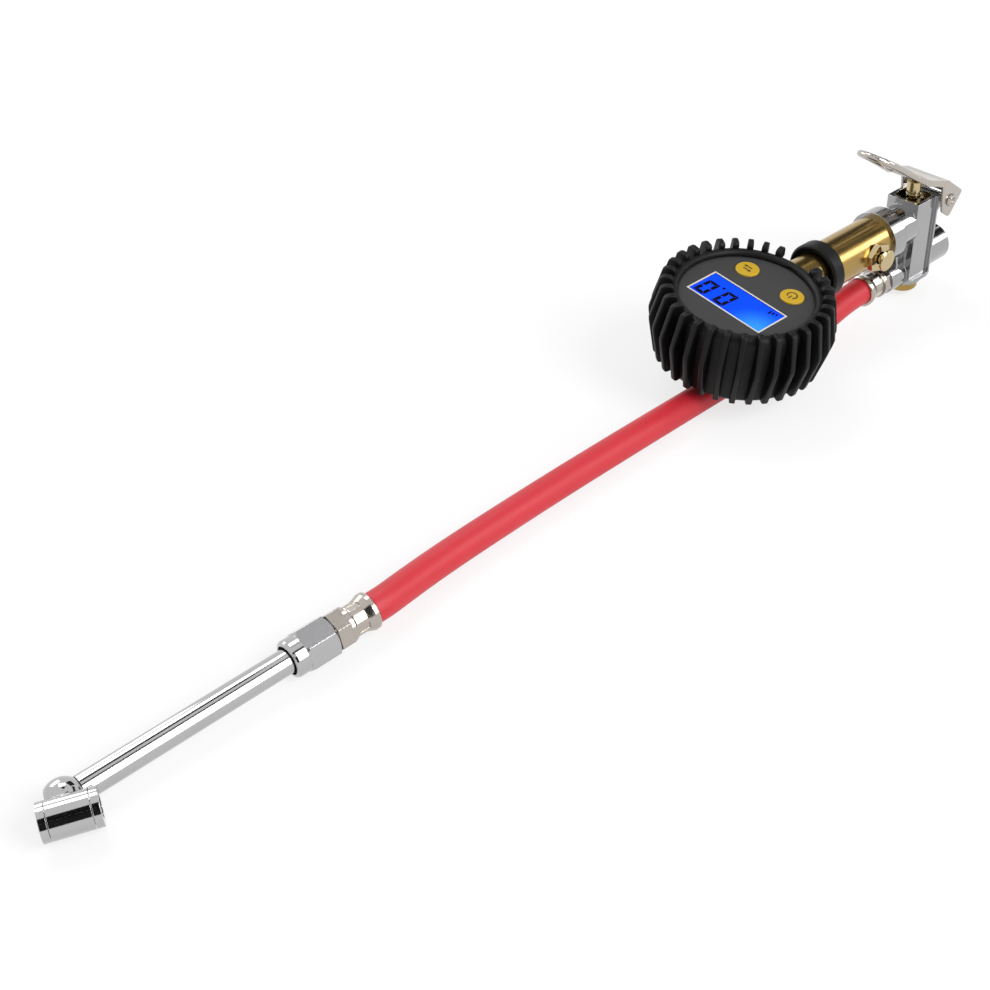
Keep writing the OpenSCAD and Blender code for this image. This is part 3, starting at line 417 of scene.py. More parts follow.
# Brass, turned bright: paler and sharper, for the bleed valve and small fittings
BRIGHT_BRASS = TurnedMetal(
    "brass_turned_bright", "#c9b88f", "#bfab80",
    metallic=1, roughness=0.14, spread=0.04, grain_mm=0.6, grain_depth=0.04, patch_mm=6,
)
# Zinc, cast and chrome plated: mirror with the faint waves of the casting under it
PLATED_CASTING = Finish(
    "zinc_cast_chrome_plated", "#acacad", "#a2a2a3",
    metallic=1, roughness=0.12, spread=0.03, grain_mm=3.2, grain_depth=0.03, patch_mm=12, edge_mm=0.4,
)
# Steel sheet, pressed and nickel plated: warm grey, satin where the tool drew it
NICKEL_SHEET = Finish(
    "steel_pressed_nickel_plated", "#bdb6af", "#b3aca5",
    metallic=1, roughness=0.19, spread=0.03, grain_mm=1.4, grain_depth=0.02, patch_mm=14,
    stretch=(0.25, 1, 1), edge_mm=0.4,
)
# Brass, turned and nickel plated: warm bright fittings
NICKEL_TURNED = TurnedMetal(
    "brass_turned_nickel_plated", "#bcb5ad", "#b0a9a1",
    metallic=1, roughness=0.16, spread=0.05, grain_mm=1.2, grain_depth=0.05, patch_mm=6, edge_mm=0.3,
)
# Steel, drawn, polished and chrome plated: clean mirror with cool tone
BRIGHT_CHROME = Finish(
    "steel_polished_chrome_plated", "#bcbcbd", "#b4b4b5",
    metallic=1, roughness=0.07, spread=0.02, grain_mm=4, grain_depth=0.01, patch_mm=15, edge_mm=0.35,
)
# Nitrile rubber hose, extruded: matte red with lines drawn out along it
HOSE_RUBBER = Finish(
    "nitrile_rubber_extruded_red", "#c92733", "#bd212d",
    roughness=0.46, spread=0.05, grain_mm=0.8, grain_depth=0.12, patch_mm=30,
    stretch=(0.06, 1, 1), ior=1.52,
)
# Spring steel, drawn: grey wire
SPRING_STEEL = Finish(
    "spring_steel_drawn", "#b4b7bb", "#a3a6ab",
    metallic=1, roughness=0.3, grain_mm=0.4, grain_depth=0.08, patch_mm=4, edge_mm=0.05,
)
# Steel, zinc plated: dull bluish screws and contacts
ZINC_STEEL = Finish(
    "steel_zinc_plated", "#a7abb0", "#969aa0",
    metallic=1, roughness=0.34, grain_mm=0.5, grain_depth=0.08, patch_mm=4, edge_mm=0.08,
)
# Glass fibre laminate with green solder mask
BOARD_LAMINATE = Finish(
    "glass_fibre_laminate_green", "#1c5c36", "#174d2d",
    roughness=0.35, grain_mm=0.9, grain_depth=0.2, patch_mm=3, ior=1.55,
)
# Polyester sleeve of a dry cell, shrunk on
CELL_SLEEVE = Finish(
    "polyester_sleeve_blue", "#2f5f8f", "#27527d",
    roughness=0.28, grain_mm=1.5, grain_depth=0.04, patch_mm=10, ior=1.57,
)
# Nylon, moulded black, for switches and the display's carrier
NYLON_BLACK = Finish(
    "nylon_moulded_black", "#151517", "#1d1d20",
    roughness=0.5, grain_mm=0.4, grain_depth=0.1, patch_mm=5, ior=1.53,
)


# ------------------------------------------------------------------ mesh helpers


Shape = tuple[list[Vector], list[Sequence[int]]]


def join(shapes: Iterable[Shape]) -> Shape:
    """Puts several shapes into one list of points and faces.

    Args:
        shapes: The shapes, which keep their order.

    Returns:
        All their points and faces.
    """
    points: list[Vector] = []
    faces: list[Sequence[int]] = []
    for more_points, more_faces in shapes:
        start = len(points)
        points += more_points
        faces += [[start + i for i in face] for face in more_faces]
    return points, faces


def slab_faces(n: int) -> list[Sequence[int]]:
    """Returns the faces of a slab, whose points are one outline of n corners and then the other."""
    sides = [[i, (i + 1) % n, n + (i + 1) % n, n + i] for i in range(n)]
    return [list(range(n))[::-1], list(range(n, 2 * n)), *sides]


def box_line(x: float, y: float, wide: float, tall: float) -> list[Flat]:
    """Returns the corners of a rectangle, from its lower left."""
    return [(x, y), (x + wide, y), (x + wide, y + tall), (x, y + tall)]


def prism(outline: Sequence[Flat], low: float, high: float) -> Shape:
    """Upright prism.

    Args:
        outline: Corners seen from above, counter-clockwise.
        low: Level of its underside.
        high: Level of its top.

    Returns:
        Its points and faces.
    """
    points = [Vector((x, y, z)) for z in (low, high) for x, y in outline]
    return points, slab_faces(len(outline))


def lathe(profile: Sequence[Flat], steps: int) -> Shape:
    """Ring around Z.

    Args:
        profile: Closed line of radius and height, counter-clockwise.
        steps: Faces around the ring.

    Returns:
        Its points and faces.
    """
    n = len(profile)
    points = []
    for k in range(steps):
        turn = 2 * math.pi * k / steps
        points += [Vector((r * math.cos(turn), r * math.sin(turn), z)) for r, z in profile]
    faces = []
    for k in range(steps):
        a, b = k * n, (k + 1) % steps * n
        faces += [[a + i, b + i, b + (i + 1) % n, a + (i + 1) % n] for i in range(n)]
    return points, faces


def show(name: str, data: bpy.types.ID) -> bpy.types.Object:
    """Makes an object of its data and shows it in the scene.

    Args:
        name: The object's name.
        data: Its mesh, curve, lamp or camera.

    Returns:
        The object.
    """
    made = bpy.data.objects.new(name, data)
    bpy.context.scene.collection.objects.link(made)
    return made


def flat_sheet(name: str, half: Flat) -> bpy.types.Object:
    """Makes a flat rectangle around its own middle.

    Args:
        name: The object's name.
        half: Half its two sides, in metres.

    Returns:
        The rectangle.
    """
    w, h = half
    mesh = bpy.data.meshes.new(name)
    mesh.from_pydata([(-w, -h, 0), (w, -h, 0), (w, h, 0), (-w, h, 0)], [], [(0, 1, 2, 3)])
    return show(name, mesh)


def piece(
    name: str,
    shape: Shape,
    finish: Finish,
    body: Body,
    place: Callable[[Vector], Vector] = lambda p: p,
    bevel_mm: float = 0.0,
    segments: int = 2,
    sharp_deg: float = 35.0,
) -> bpy.types.Object:
    """Makes one piece of the object from a shape in millimetres.

    Args:
        name: The piece's name.
        shape: Its points and faces.
        finish: Its material.
        body: The group that it moves with.
        place: Turns a point of the shape to the row frame, in millimetres.
        bevel_mm: Radius on its hard edges.
        segments: Faces across that radius.
        sharp_deg: Edges sharper than this stay hard.

    Returns:
        The piece.
    """
    points, faces = shape
    mesh = bpy.data.meshes.new(name)
    mesh.from_pydata([place(p) * MM for p in points], [], faces)
    made = show(name, mesh)
    work = bmesh.new()
    work.from_mesh(mesh)
    bmesh.ops.recalc_face_normals(work, faces=work.faces)
    if bevel_mm > 0:
        limit = math.radians(sharp_deg)
        hard = [e for e in work.edges if e.is_manifold and e.calc_face_angle(0) > limit]
        bmesh.ops.bevel(
            work, geom=hard, offset=bevel_mm * MM, segments=segments, profile=BEVEL_PROFILE,
            affect="EDGES", clamp_overlap=True,
        )
    work.to_mesh(mesh)
    work.free()
    mesh.shade_smooth()
    mesh.set_sharp_from_angle(angle=math.radians(sharp_deg + CREASE_MARGIN_DEG))
    mesh.materials.append(finish.material())
    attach(made, body.value)
    LOG.info("%s: %d faces", name, len(mesh.polygons))
    return made


def bake(made: bpy.types.Object) -> None:
    """Puts the result of a piece's modifiers in its own mesh.

    Args:
        made: The piece, whose modifiers are taken off.
    """
    bpy.context.view_layer.update()
    graph = bpy.context.evaluated_depsgraph_get()
    done = bpy.data.meshes.new_from_object(made.evaluated_get(graph))
    made.modifiers.clear()
    old, made.data = made.data, done
    bpy.data.meshes.remove(old)
    done.name = made.name


# ------------------------------------------------------------------ studio


@dataclass
class Studio:
    """Camera, lamps, pale floor and the cards that the metal mirrors.

    Attributes:
        eye_mm: Place of the camera in the row frame.
        right: The view's right in the row frame.
        down: The view's way down in the row frame.
        ahead: The way that the camera looks in the row frame.
        lens_mm: The camera's focal length.
        sensor_mm: Width of its sensor.
        floor_colour: The floor's own colour in sRGB hex.
        floor_half: Half the floor's side, in metres.
        floor_middle: Place of its middle along the tool, in metres.
        floor_fade: Distances between which the floor turns to plain white, in metres.
        floor_white: Share of plain white in the floor beside the tool.
        sky_light: Strength of the surroundings as light; where seen they are 1.
        middle: The point that the lamps face, in metres.
        card_aim: Height that the level cards face, in metres.
    """

    eye_mm: Point = (567.14, 352.47, 353.08)
    right: Point = (-0.7492689, 0.66047104, -0.04872492)
    down: Point = (0.43493207, 0.43525312, -0.7882822)
    ahead: Point = (-0.49942989, -0.61182736, -0.61338166)
    lens_mm: float = 54.545
    sensor_mm: float = 36.0
    floor_colour: str = "#f7f7f8"
    floor_half: float = 40.0
    floor_middle: float = 0.24
    floor_fade: Flat = (0.35, 1.1)
    floor_white: float = 0.72
    sky_light: float = 0.55
    middle: Point = (0.25, 0.0, 0.0)
    card_aim: float = -1.0

    def camera(self) -> None:
        """Places the camera."""
        data = bpy.data.cameras.new("camera")
        data.lens, data.sensor_width = self.lens_mm, self.sensor_mm
        data.clip_start, data.clip_end = 0.01, 50.0
        made = show("camera", data)
        turn = Matrix((self.right, [-c for c in self.down], [-c for c in self.ahead])).transposed()
        made.matrix_world = Matrix.Translation(Vector(self.eye_mm) * MM) @ turn.to_4x4()
        bpy.context.scene.camera = made

    def lamp(self, name: str, spot: Point, aim: Point, size: Flat, power: float) -> None:
        """Adds one soft box.

        Args:
            name: The lamp's name.
            spot: Where it stands, in metres.
            aim: The point that it faces, in metres.
            size: Its two sides, in metres.
            power: Its power in watts.
        """
        data = bpy.data.lights.new(name, "AREA")
        data.shape, data.size, data.size_y = "RECTANGLE", size[0], size[1]
        data.energy = power
        made = show(name, data)
        made.location = spot
        made.rotation_euler = (Vector(aim) - Vector(spot)).to_track_quat("-Z", "Y").to_euler()

    def card(self, name: str, spot: Point, aim: Point, size: Flat, code: str) -> None:
        """Adds a card that only reflections see.

        Args:
            name: The card's name.
            spot: Its middle, in metres.
            aim: The point that it faces, in metres.
            size: Its two sides, in metres.
            code: Its colour in sRGB hex.
        """
        made = flat_sheet(name, (size[0] / 2, size[1] / 2))
        made.location = spot
        made.rotation_euler = (Vector(aim) - Vector(spot)).to_track_quat("Z", "Y").to_euler()
        paper = bpy.data.materials.new(name + "_paper")
        paper.use_nodes = True
        shader = paper.node_tree.nodes["Principled BSDF"]
        shader.inputs["Base Color"].default_value = linear(code)
        shader.inputs["Roughness"].default_value = 0.9
        made.data.materials.append(paper)
        made.visible_camera = False
        made.visible_diffuse = False
        made.visible_shadow = False
        made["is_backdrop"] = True

    def any_ray(self, tree: bpy.types.NodeTree, names: Sequence[str]) -> bpy.types.NodeSocket:
        """Tests what kind of ray meets a material or the world.

        Args:
            tree: The material's or world's node tree.
            names: The kinds of ray, by the names of the light path's outputs.

        Returns:
            A socket that is 1 for a ray of one of these kinds.
        """
        path = add_node(tree, "ShaderNodeLightPath")
        seen = path.outputs[names[0]]
        for name in names[1:]:
            seen = add_node(
                tree, "ShaderNodeMath", {0: seen, 1: path.outputs[name]}, operation="MAXIMUM"
            ).outputs[0]
        return seen

    def world(self) -> None:
        """Plain white surroundings: white where seen or mirrored, softer as light."""
        world = bpy.data.worlds.new("studio")
        world.use_nodes = True
        tree = world.node_tree
        tree.nodes.clear()
        seen = self.any_ray(tree, ("Is Camera Ray", "Is Glossy Ray", "Is Transmission Ray"))
        strength = add_node(
            tree, "ShaderNodeMapRange", {"Value": seen, "To Min": self.sky_light, "To Max": 1.0}
        )
        sky = add_node(
            tree, "ShaderNodeBackground",
            {"Color": linear("#ffffff"), "Strength": strength.outputs["Result"]},
        )
        add_node(tree, "ShaderNodeOutputWorld", {"Surface": sky.outputs["Background"]})
        bpy.context.scene.world = world

    def floor(self, level: float) -> None:
        """Adds the pale floor, which turns to plain white away from the tool.

        Args:
            level: Its height in metres.
        """
        made = flat_sheet("floor", (self.floor_half, self.floor_half))
        made.location = (self.floor_middle, 0.0, level)
        paint = bpy.data.materials.new("floor_paper_white")
        paint.use_nodes = True
        tree = paint.node_tree
        tree.nodes.clear()
        seen = self.any_ray(tree, ("Is Camera Ray", "Is Glossy Ray"))
        where = add_node(tree, "ShaderNodeTexCoord").outputs["Object"]
        away = add_node(tree, "ShaderNodeVectorMath", {0: where}, operation="LENGTH")
        blend = add_node(
            tree, "ShaderNodeMapRange",
            {
                "Value": away.outputs["Value"],
                "From Min": self.floor_fade[0],
                "From Max": self.floor_fade[1],
                "To Min": self.floor_white,
                "To Max": 1.0,
            },
            interpolation_type="SMOOTHSTEP",
        )
        share = add_node(
            tree, "ShaderNodeMath", {0: seen, 1: blend.outputs["Result"]}, operation="MULTIPLY"
        )
        paper = add_node(
            tree, "ShaderNodeBsdfDiffuse", {"Color": linear(self.floor_colour), "Roughness": 0.5}
        )
        white = add_node(tree, "ShaderNodeEmission", {"Color": linear("#ffffff"), "Strength": 1.0})
        mix = add_node(
            tree, "ShaderNodeMixShader",
            {0: share.outputs[0], 1: paper.outputs[0], 2: white.outputs[0]},
        )
        add_node(tree, "ShaderNodeOutputMaterial", {"Surface": mix.outputs[0]})
        made.data.materials.append(paint)
        made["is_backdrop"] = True

    def lights(self) -> None:
        """Adds the soft boxes and the cards that shape the metal's reflections."""
        middle, down = self.middle, self.card_aim
        self.lamp("key_box", (0.08, 0.9, 0.9), middle, (0.55, 0.5), 7.0)
        self.lamp("side_box", (-1.3, 1.05, 0.7), middle, (0.4, 0.5), 4.0)
        self.lamp("top_box", (0.02, -0.68, 1.25), middle, (0.7, 0.45), 5.0)
        self.lamp("front_box", (0.1, 1.15, 0.4), middle, (0.5, 0.4), 3.0)
        self.lamp("rim_box", (0.4, -1.2, 0.6), middle, (0.7, 0.5), 3.5)
        self.card("strip_near", (0.15, 0.44, 1.0), (0.15, 0.44, down), (0.35, 0.2), "#0a0a0b")
        self.card("strip_far", (0.21, -0.15, 1.0), (0.21, -0.15, down), (0.26, 0.24), "#0a0a0b")
        self.card("panel_dark", (-1.15, 0.3, 1.0), (-1.15, 0.3, down), (0.8, 0.8), "#1c1c1d")
        self.card("nut_above", (-0.06, -0.26, 1.12), (-0.06, -0.26, down), (0.3, 0.24), "#dedede")
        self.card("head_above", (0.98, 0.8, 1.2), (0.98, 0.8, down), (0.7, 0.8), "#0a0a0b")
        self.card("head_side", (1.08, 1.2, 0.62), (1.08, -1.0, 0.62), (0.75, 1.15), "#0c0c0d")
        self.card("card_behind", (-0.9, -0.62, 0.95), middle, (0.8, 0.8), "#1c1c1d")


# ------------------------------------------------------------------ hose


@dataclass
class Hose:
    """Red air hose between its two crimped ferrules.

    Attributes:
        radius_mm: Its outer radius.
        per_span: Points of the curve for each span of the route.
        round_steps: Smoothness of its round section.
        route_mm: Its middle line in the row frame, from the valve to the chuck.
    """

    radius_mm: float = 6.1
    per_span: int = 2
    round_steps: int = 10
    route_mm: tuple[Point, ...] = (
        (54.3, 0, -5), (60.4, 0, -5), (68, 0, -5.7), (76, 0, -7.3), (85, 0, -9.2),
        (94, 0, -10.4), (104, 0.1, -10.9), (120, 0.2, -11), (150, 0.4, -11),
        (182, 0.7, -11), (210, 1.1, -11), (244, 1.8, -11), (272, 2.8, -11),
        (296, 4, -10.9), (312, 5.3, -10.6), (324, 6.9, -10), (334, 8.7, -9.2),
        (342.9007, 10.2787, -8.5042), (350.4998, 10.3052, -8.6236),
    )

    def line(self) -> list[Vector]:
        """Draws a smooth line through the route's points.

        Returns:
            The line's points, in metres.
        """
        p = [Vector(q) for q in self.route_mm]
        out = []
        for i in range(len(p) - 1):
            a = p[i - 1] if i else 2 * p[0] - p[1]
            d = p[i + 2] if i + 2 < len(p) else 2 * p[-1] - p[-2]
            b, c = p[i], p[i + 1]
            for k in range(self.per_span):
                t = k / self.per_span
                out.append(
                    0.5 * (2 * b + (c - a) * t + (2 * a - 5 * b + 4 * c - d) * t**2
                           + (3 * b - a - 3 * c + d) * t**3)
                )
        return [q * MM for q in [*out, p[-1]]]

    def build(self) -> None:
        line = self.line()
        data = bpy.data.curves.new("air_hose", "CURVE")
        data.dimensions = "3D"
        data.bevel_depth = self.radius_mm * MM
        data.bevel_resolution = self.round_steps
        data.use_fill_caps = True
        spline = data.splines.new("POLY")
        spline.points.add(len(line) - 1)
        for knot, q in zip(spline.points, line):
            knot.co = (*q, 1.0)
        spline.use_smooth = True
        made = show("air_hose", data)
        data.materials.append(HOSE_RUBBER.material())
        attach(made, Body.INFLATOR.value)
        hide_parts("hose")


# ------------------------------------------------------------------ gauge


@dataclass
class Gauge:
    """Ribbed boot, display and keys of the digital gauge, in its own frame.

    The gauge's frame has its origin in the middle of the face, X along the tool and
    Z out of the face. Sizes are in millimetres.

    Attributes:
        middle: The gauge's middle in the row frame, on the barrel's axis.
        turn_deg: Lean of the face about the barrel's axis.
        face_rise: Height of the face above that axis.
        case_r: Radius of the case inside the boot.
        case_depth: Depth of the case below the face.
        face_r: Radius of the face.
        boot_r: Radius over the ribs.
        core_r: Radius of the boot's wall.
        rim: Height of the ribs above the face.
        boot_floor: Thickness of the boot under the case.
        wall_steps: Faces around the boot's wall.
        ribs: Number of ribs.
        rib_t: Thickness of a rib.
        rib_round: Radius on a rib's edges.
        rib_taper: A rib's thickness at its foot, and what it loses to its edge, as shares.
        rib_mid: Share of boot_r at which a rib's way past the barrel is taken.
        stub_min: Height under which the stub of a rib is left out.
        ring_r: Radius around the barrel that stays free of ribs.
        hole_r: Radius of the barrel's hole in the wall.
        hole_len: Length of that hole's cutter, and how far outside the face it begins.
        lcd_x: Middle of the display along the tool.
        lcd_half: Half the display's two sides.
        frame_w: Width of the display's frame.
        frame_z: Underside and top of the frame.
        key_x: Place of the keys along the tool.
        key_y: Place of each key to either side.
        key_dome: Height of a key's middle, what it falls to its edge, and its radius.
        mark_z: Thickness of the print on a key, and how deep it sits.
        mark_r: Radius of the power mark.
        mark_half: Half the width of a printed line.
        digit: Width and height of a digit.
        stroke: Width of a digit's segment.
        segment_gap: Half the gap between two segments.
        lean: Slant of the digits.
        reading: Where each digit begins along the reading direction.
        reading_low: Level of the digits' feet.
        point: Where the point begins, its side, and how far it drops below the digits.
        unit_spot: Where the three level bars begin.
        unit_bar: Width of a bar and the step to the next.
        unit_tall: Heights of the bars.
        digit_z: Underside and top of the digits, inside the display.
    """

    middle: Point = (138.0, 0.0, 20.0)
    turn_deg: float = 8.0
    face_rise: float = 8.1
    case_r: float = 30.6
    case_depth: float = 27.2
    face_r: float = 28.4
    boot_r: float = 40.0
    core_r: float = 34.0
    rim: float = 5.2
    boot_floor: float = 2.6
    wall_steps: int = 144
    ribs: int = 32
    rib_t: float = 2.3
    rib_round: float = 0.55
    rib_taper: Flat = (1.25, 0.35)
    rib_mid: float = 0.93
    stub_min: float = 1.2
    ring_r: float = 13.4
    hole_r: float = 9.6
    hole_len: Flat = (14.0, 12.0)
    lcd_x: float = 6.2
    lcd_half: Flat = (8.4, 19.5)
    frame_w: float = 0.62
    frame_z: Flat = (-0.25, 0.16)
    key_x: float = 14.7
    key_y: float = 12.5
    key_dome: Point = (1.0, 0.3, 4.6)
    mark_z: Flat = (0.08, 0.01)
    mark_r: float = 2.1
    mark_half: float = 0.32
    digit: Flat = (6.0, 10.3)
    stroke: float = 1.75
    segment_gap: float = 0.16
    lean: float = 0.08
    reading: Flat = (1.0, 11.5)
    reading_low: float = -3.1
    point: Point = (9.0, 1.3, 0.5)
    unit_spot: Flat = (-17.0, -7.0)
    unit_bar: Flat = (0.9, 1.5)
    unit_tall: Point = (1.2, 1.9, 2.6)
    digit_z: Flat = (-0.2, -0.13)

    def place(self, p: Vector) -> Vector:
        """Turns a point of the gauge's frame to the row frame.

        Args:
            p: The point, in millimetres.

        Returns:
            The same point in the row frame, in millimetres.
        """
        a = math.radians(self.turn_deg)
        y, z = p.y, p.z + self.face_rise
        return Vector(self.middle) + Vector(
            (p.x, y * math.cos(a) + z * math.sin(a), z * math.cos(a) - y * math.sin(a))
        )

    def core_profile(self) -> list[Flat]:
        """Draws the boot's wall: floor, side, rolled rim and lip over the face.

        Returns:
            Its closed side line as radius and height.
        """
        low = -self.case_depth - self.boot_floor
        inner = self.case_r + 0.2
        return [
            (self.case_r - 3.6, low), (self.core_r - 2.2, low), (self.core_r - 1.0, low + 0.5),
            (self.core_r - 0.4, low + 1.8), (self.core_r, -self.face_rise), (self.core_r - 0.1, -0.6),
            (self.core_r - 0.4, 0.4), (self.core_r - 0.9, 1.2), (self.core_r - 1.7, 2.0),
            (self.core_r - 2.4, 2.4), (inner, 2.6), (self.face_r + 1.4, 2.5),
            (self.face_r + 0.8, 2.1), (self.face_r + 0.4, 1.5), (self.face_r + 0.2, 0.7),
            (self.face_r + 0.2, 0.15), (inner, 0.15),
            (inner, -self.case_depth - 0.15), (self.case_r - 3.6, -self.case_depth - 0.15),
        ]

    def rib_outline(self) -> list[Flat]:
        """Draws a rib from the side.

        Returns:
            Its closed side line as radius and height.
        """
        low = -self.case_depth - self.boot_floor
        shoulder = -self.face_rise - 3.2
        return [
            (self.case_r + 1.2, low + 0.6), (self.boot_r - 5.2, low + 0.1),
            (self.boot_r - 4.2, low + 0.5), (self.boot_r - 3.8, low + 1.4),
            (self.boot_r - 0.45, shoulder - 2.4), (self.boot_r - 0.1, shoulder),
            (self.boot_r - 0.45, shoulder + 2.2), (self.boot_r - 3.2, self.rim - 1.4),
            (self.boot_r - 4.0, self.rim - 0.4), (self.boot_r - 5.4, self.rim),
            (self.case_r + 1.4, self.rim - 0.2), (self.case_r + 0.6, self.rim - 1.2),
            (self.case_r + 0.6, 1.6),
        ]

    def clip(self, line: list[Flat], level: float, above: bool) -> list[Flat]:
        """Cuts a side line off at a level.

        Args:
            line: Closed line of radius and height.
            level: The height of the cut.
            above: True keeps what is above it.

        Returns:
            The line of what is left, empty when nothing is.
        """
        out = []
        sign = 1 if above else -1
        for (r0, z0), (r1, z1) in zip(line, [*line[1:], line[0]]):
            d0, d1 = sign * (z0 - level), sign * (z1 - level)
            if d0 >= 0:
                out.append((r0, z0))
            if d0 * d1 < 0:
                t = d0 / (d0 - d1)
                out.append((r0 + t * (r1 - r0), level))
        return out if len(out) > 2 else []

    def rib(self, line: list[Flat], angle: float) -> Shape:
        """Makes one rib, thicker at its foot than at its edge.

        Args:
            line: Its side line.
            angle: Its place around the boot, in degrees.

        Returns:
            Its points and faces.
        """
        a = math.radians(angle)
        out, side = Vector((math.cos(a), math.sin(a), 0)), Vector((-math.sin(a), math.cos(a), 0))
        foot, loss = self.rib_taper
        points = []
        for s in (-1, 1):
            for r, z in line:
                share = (r - self.case_r) / (self.boot_r - self.case_r)
                half = self.rib_t / 2 * (foot - loss * share)
                points.append(out * r + side * (s * half) + Vector((0, 0, z)))
        return points, slab_faces(len(line))

    def rib_shapes(self) -> list[Shape]:
        """Makes every rib, cut short where the barrel passes.

        Returns:
            The ribs and the stubs over and under the barrel.
        """
        shapes = []
        outline = self.rib_outline()
        for i in range(self.ribs):
            angle = 360 * (i + 0.5) / self.ribs
            off = self.boot_r * self.rib_mid * math.sin(math.radians(angle))
            near = abs(off) < self.ring_r and math.cos(math.radians(angle)) < 0
            if not near:
                shapes.append(self.rib(outline, angle))
                continue
            reach = math.sqrt(self.ring_r**2 - off**2)
            cuts = [(-self.face_rise - reach, False)]
            if abs(off) > self.ring_r / 2:
                cuts.append((-self.face_rise + reach, True))
            for level, above in cuts:
                part = self.clip(outline, level, above)
                if part and max(z for _, z in part) - min(z for _, z in part) > self.stub_min:
                    shapes.append(self.rib(part, angle))
        return shapes

    def barrel_cutter(self) -> bpy.types.Object:
        """Makes the bar that cuts the barrel's hole.

        Returns:
            The bar, to be removed after the cut.
        """
        steps = 64
        turns = [2 * math.pi * k / steps for k in range(steps)]
        ring = [(self.hole_r * math.cos(a), self.hole_r * math.sin(a)) for a in turns]
        length, outside = self.hole_len
        points, faces = prism(ring, 0, length)
        turned = [Vector((-self.face_r - outside + p.z, p.y, p.x - self.face_rise)) for p in points]
        mesh = bpy.data.meshes.new("cutter")
        mesh.from_pydata([self.place(p) * MM for p in turned], [], faces)
        work = bmesh.new()
        work.from_mesh(mesh)
        bmesh.ops.recalc_face_normals(work, faces=work.faces)
        work.to_mesh(mesh)
        work.free()
        return show("cutter", mesh)

    def boot(self) -> None:
        """Makes the boot's wall, with the barrel's hole, and its ribs."""
        wall = piece(
            "boot_wall", lathe(self.core_profile(), self.wall_steps), MOULDED_RUBBER,
            Body.INFLATOR, self.place,
        )
        cutter = self.barrel_cutter()
        cut = wall.modifiers.new("barrel_hole", "BOOLEAN")
        cut.operation, cut.solver, cut.object = "DIFFERENCE", "EXACT", cutter
        bake(wall)
        wall.data.set_sharp_from_angle(angle=math.radians(45))
        bpy.data.objects.remove(cutter)
        ribs = piece(
            "boot_ribs", join(self.rib_shapes()), MOULDED_RUBBER, Body.INFLATOR,
            self.place, bevel_mm=self.rib_round, segments=3,
        )
        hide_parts("gauge_boot")
        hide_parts("gauge_boot")

    def frame_line(self) -> None:
        """Makes the thin cream frame around the display."""
        x, y = self.lcd_half
        wide = self.frame_w
        bars = []
        for x0, y0, x1, y1 in (
            (-x - wide, -y - wide, -x, y + wide), (x, -y - wide, x + wide, y + wide),
            (-x, -y - wide, x, -y), (-x, y, x, y + wide),
        ):
            bar = [(x0, y0), (x1, y0), (x1, y1), (x0, y1)]
            bars.append(prism([(self.lcd_x + a, b) for a, b in bar], *self.frame_z))
        piece(
            "display_frame", join(bars), CREAM_TRIM, Body.INFLATOR, self.place
        )

    def nought(self, left: float, low: float) -> list[list[Flat]]:
        """Draws the six leaning segments of a nought.

        Args:
            left: Where it begins along the reading direction.
            low: The level of its foot.

        Returns:
            The corners of each segment.
        """
        w, h = self.digit
        t, g = self.stroke, self.segment_gap
        bar = [(g, 0), (w - g, 0), (w - t - g, t), (t + g, t)]
        post = [(0, g), (t, t + g), (t, h / 2 - g - 0.3 * t), (0, h / 2 - g / 2)]
        upright = []
        for top in (False, True):
            upright.append([(x, h - y if top else y) for x, y in bar])
            for right in (False, True):
                upright.append([(w - x if right else x, h - y if top else y) for x, y in post])
        return [[(left + x + self.lean * y, low + y) for x, y in line] for line in upright]

    def digits(self) -> None:
        """Makes the reading, a point and a small level mark of three bars."""
        low = self.reading_low
        marks = [segment for left in self.reading for segment in self.nought(left, low)]
        start, side, drop = self.point
        marks.append(box_line(start, low - drop, side, side))
        wide, step = self.unit_bar
        for k, tall in enumerate(self.unit_tall):
            marks.append(box_line(self.unit_spot[0] + step * k, self.unit_spot[1], wide, tall))
        shapes = [prism([(self.lcd_x + up, -along) for along, up in m], *self.digit_z) for m in marks]
        piece(
            "display_digits", join(shapes), CRYSTAL_BLACK, Body.INFLATOR, self.place
        )

    def dome(self, x: float, y: float) -> float:
        """Returns the height of a key's top at a place seen from its middle."""
        top, fall, radius = self.key_dome
        return top - fall * math.hypot(x, y) / radius

    def symbol(self, outlines: list[list[Flat]], name: str, body: Body, side: int) -> None:
        """Prints a symbol on a key.

        Args:
            outlines: Its patches, with X along the tool.
            name: The piece's name.
            body: The key's group.
            side: 1 or -1, the side of the face.
        """
        thick, sunk = self.mark_z
        shapes = []
        for line in outlines:
            points, faces = prism(line, 0, thick)
            raised = [
                Vector((p.x - self.key_x, p.y + side * self.key_y, p.z + self.dome(p.x, p.y) - sunk))
                for p in points
            ]
            shapes.append((raised, faces))
        piece(name, join(shapes), KEY_INK, body, self.place)

    def power_mark(self) -> list[list[Flat]]:
        """Draws an open ring with a stroke in its gap.

        Returns:
            The corners of each patch, small enough to follow the key's dome.
        """
        w = self.mark_half
        low, high = self.mark_r - w, self.mark_r + w
        opening, steps = 40, 20
        turns = [
            math.radians(opening + (360 - 2 * opening) * k / steps) for k in range(steps + 1)
        ]
        patches = []
        for a, b in zip(turns, turns[1:]):
            patches.append([
                (low * math.cos(a), low * math.sin(a)), (high * math.cos(a), high * math.sin(a)),
                (high * math.cos(b), high * math.sin(b)), (low * math.cos(b), low * math.sin(b)),
            ])
        return [*patches, [(0.4, -w), (2.6, -w), (2.6, w), (0.4, w)]]

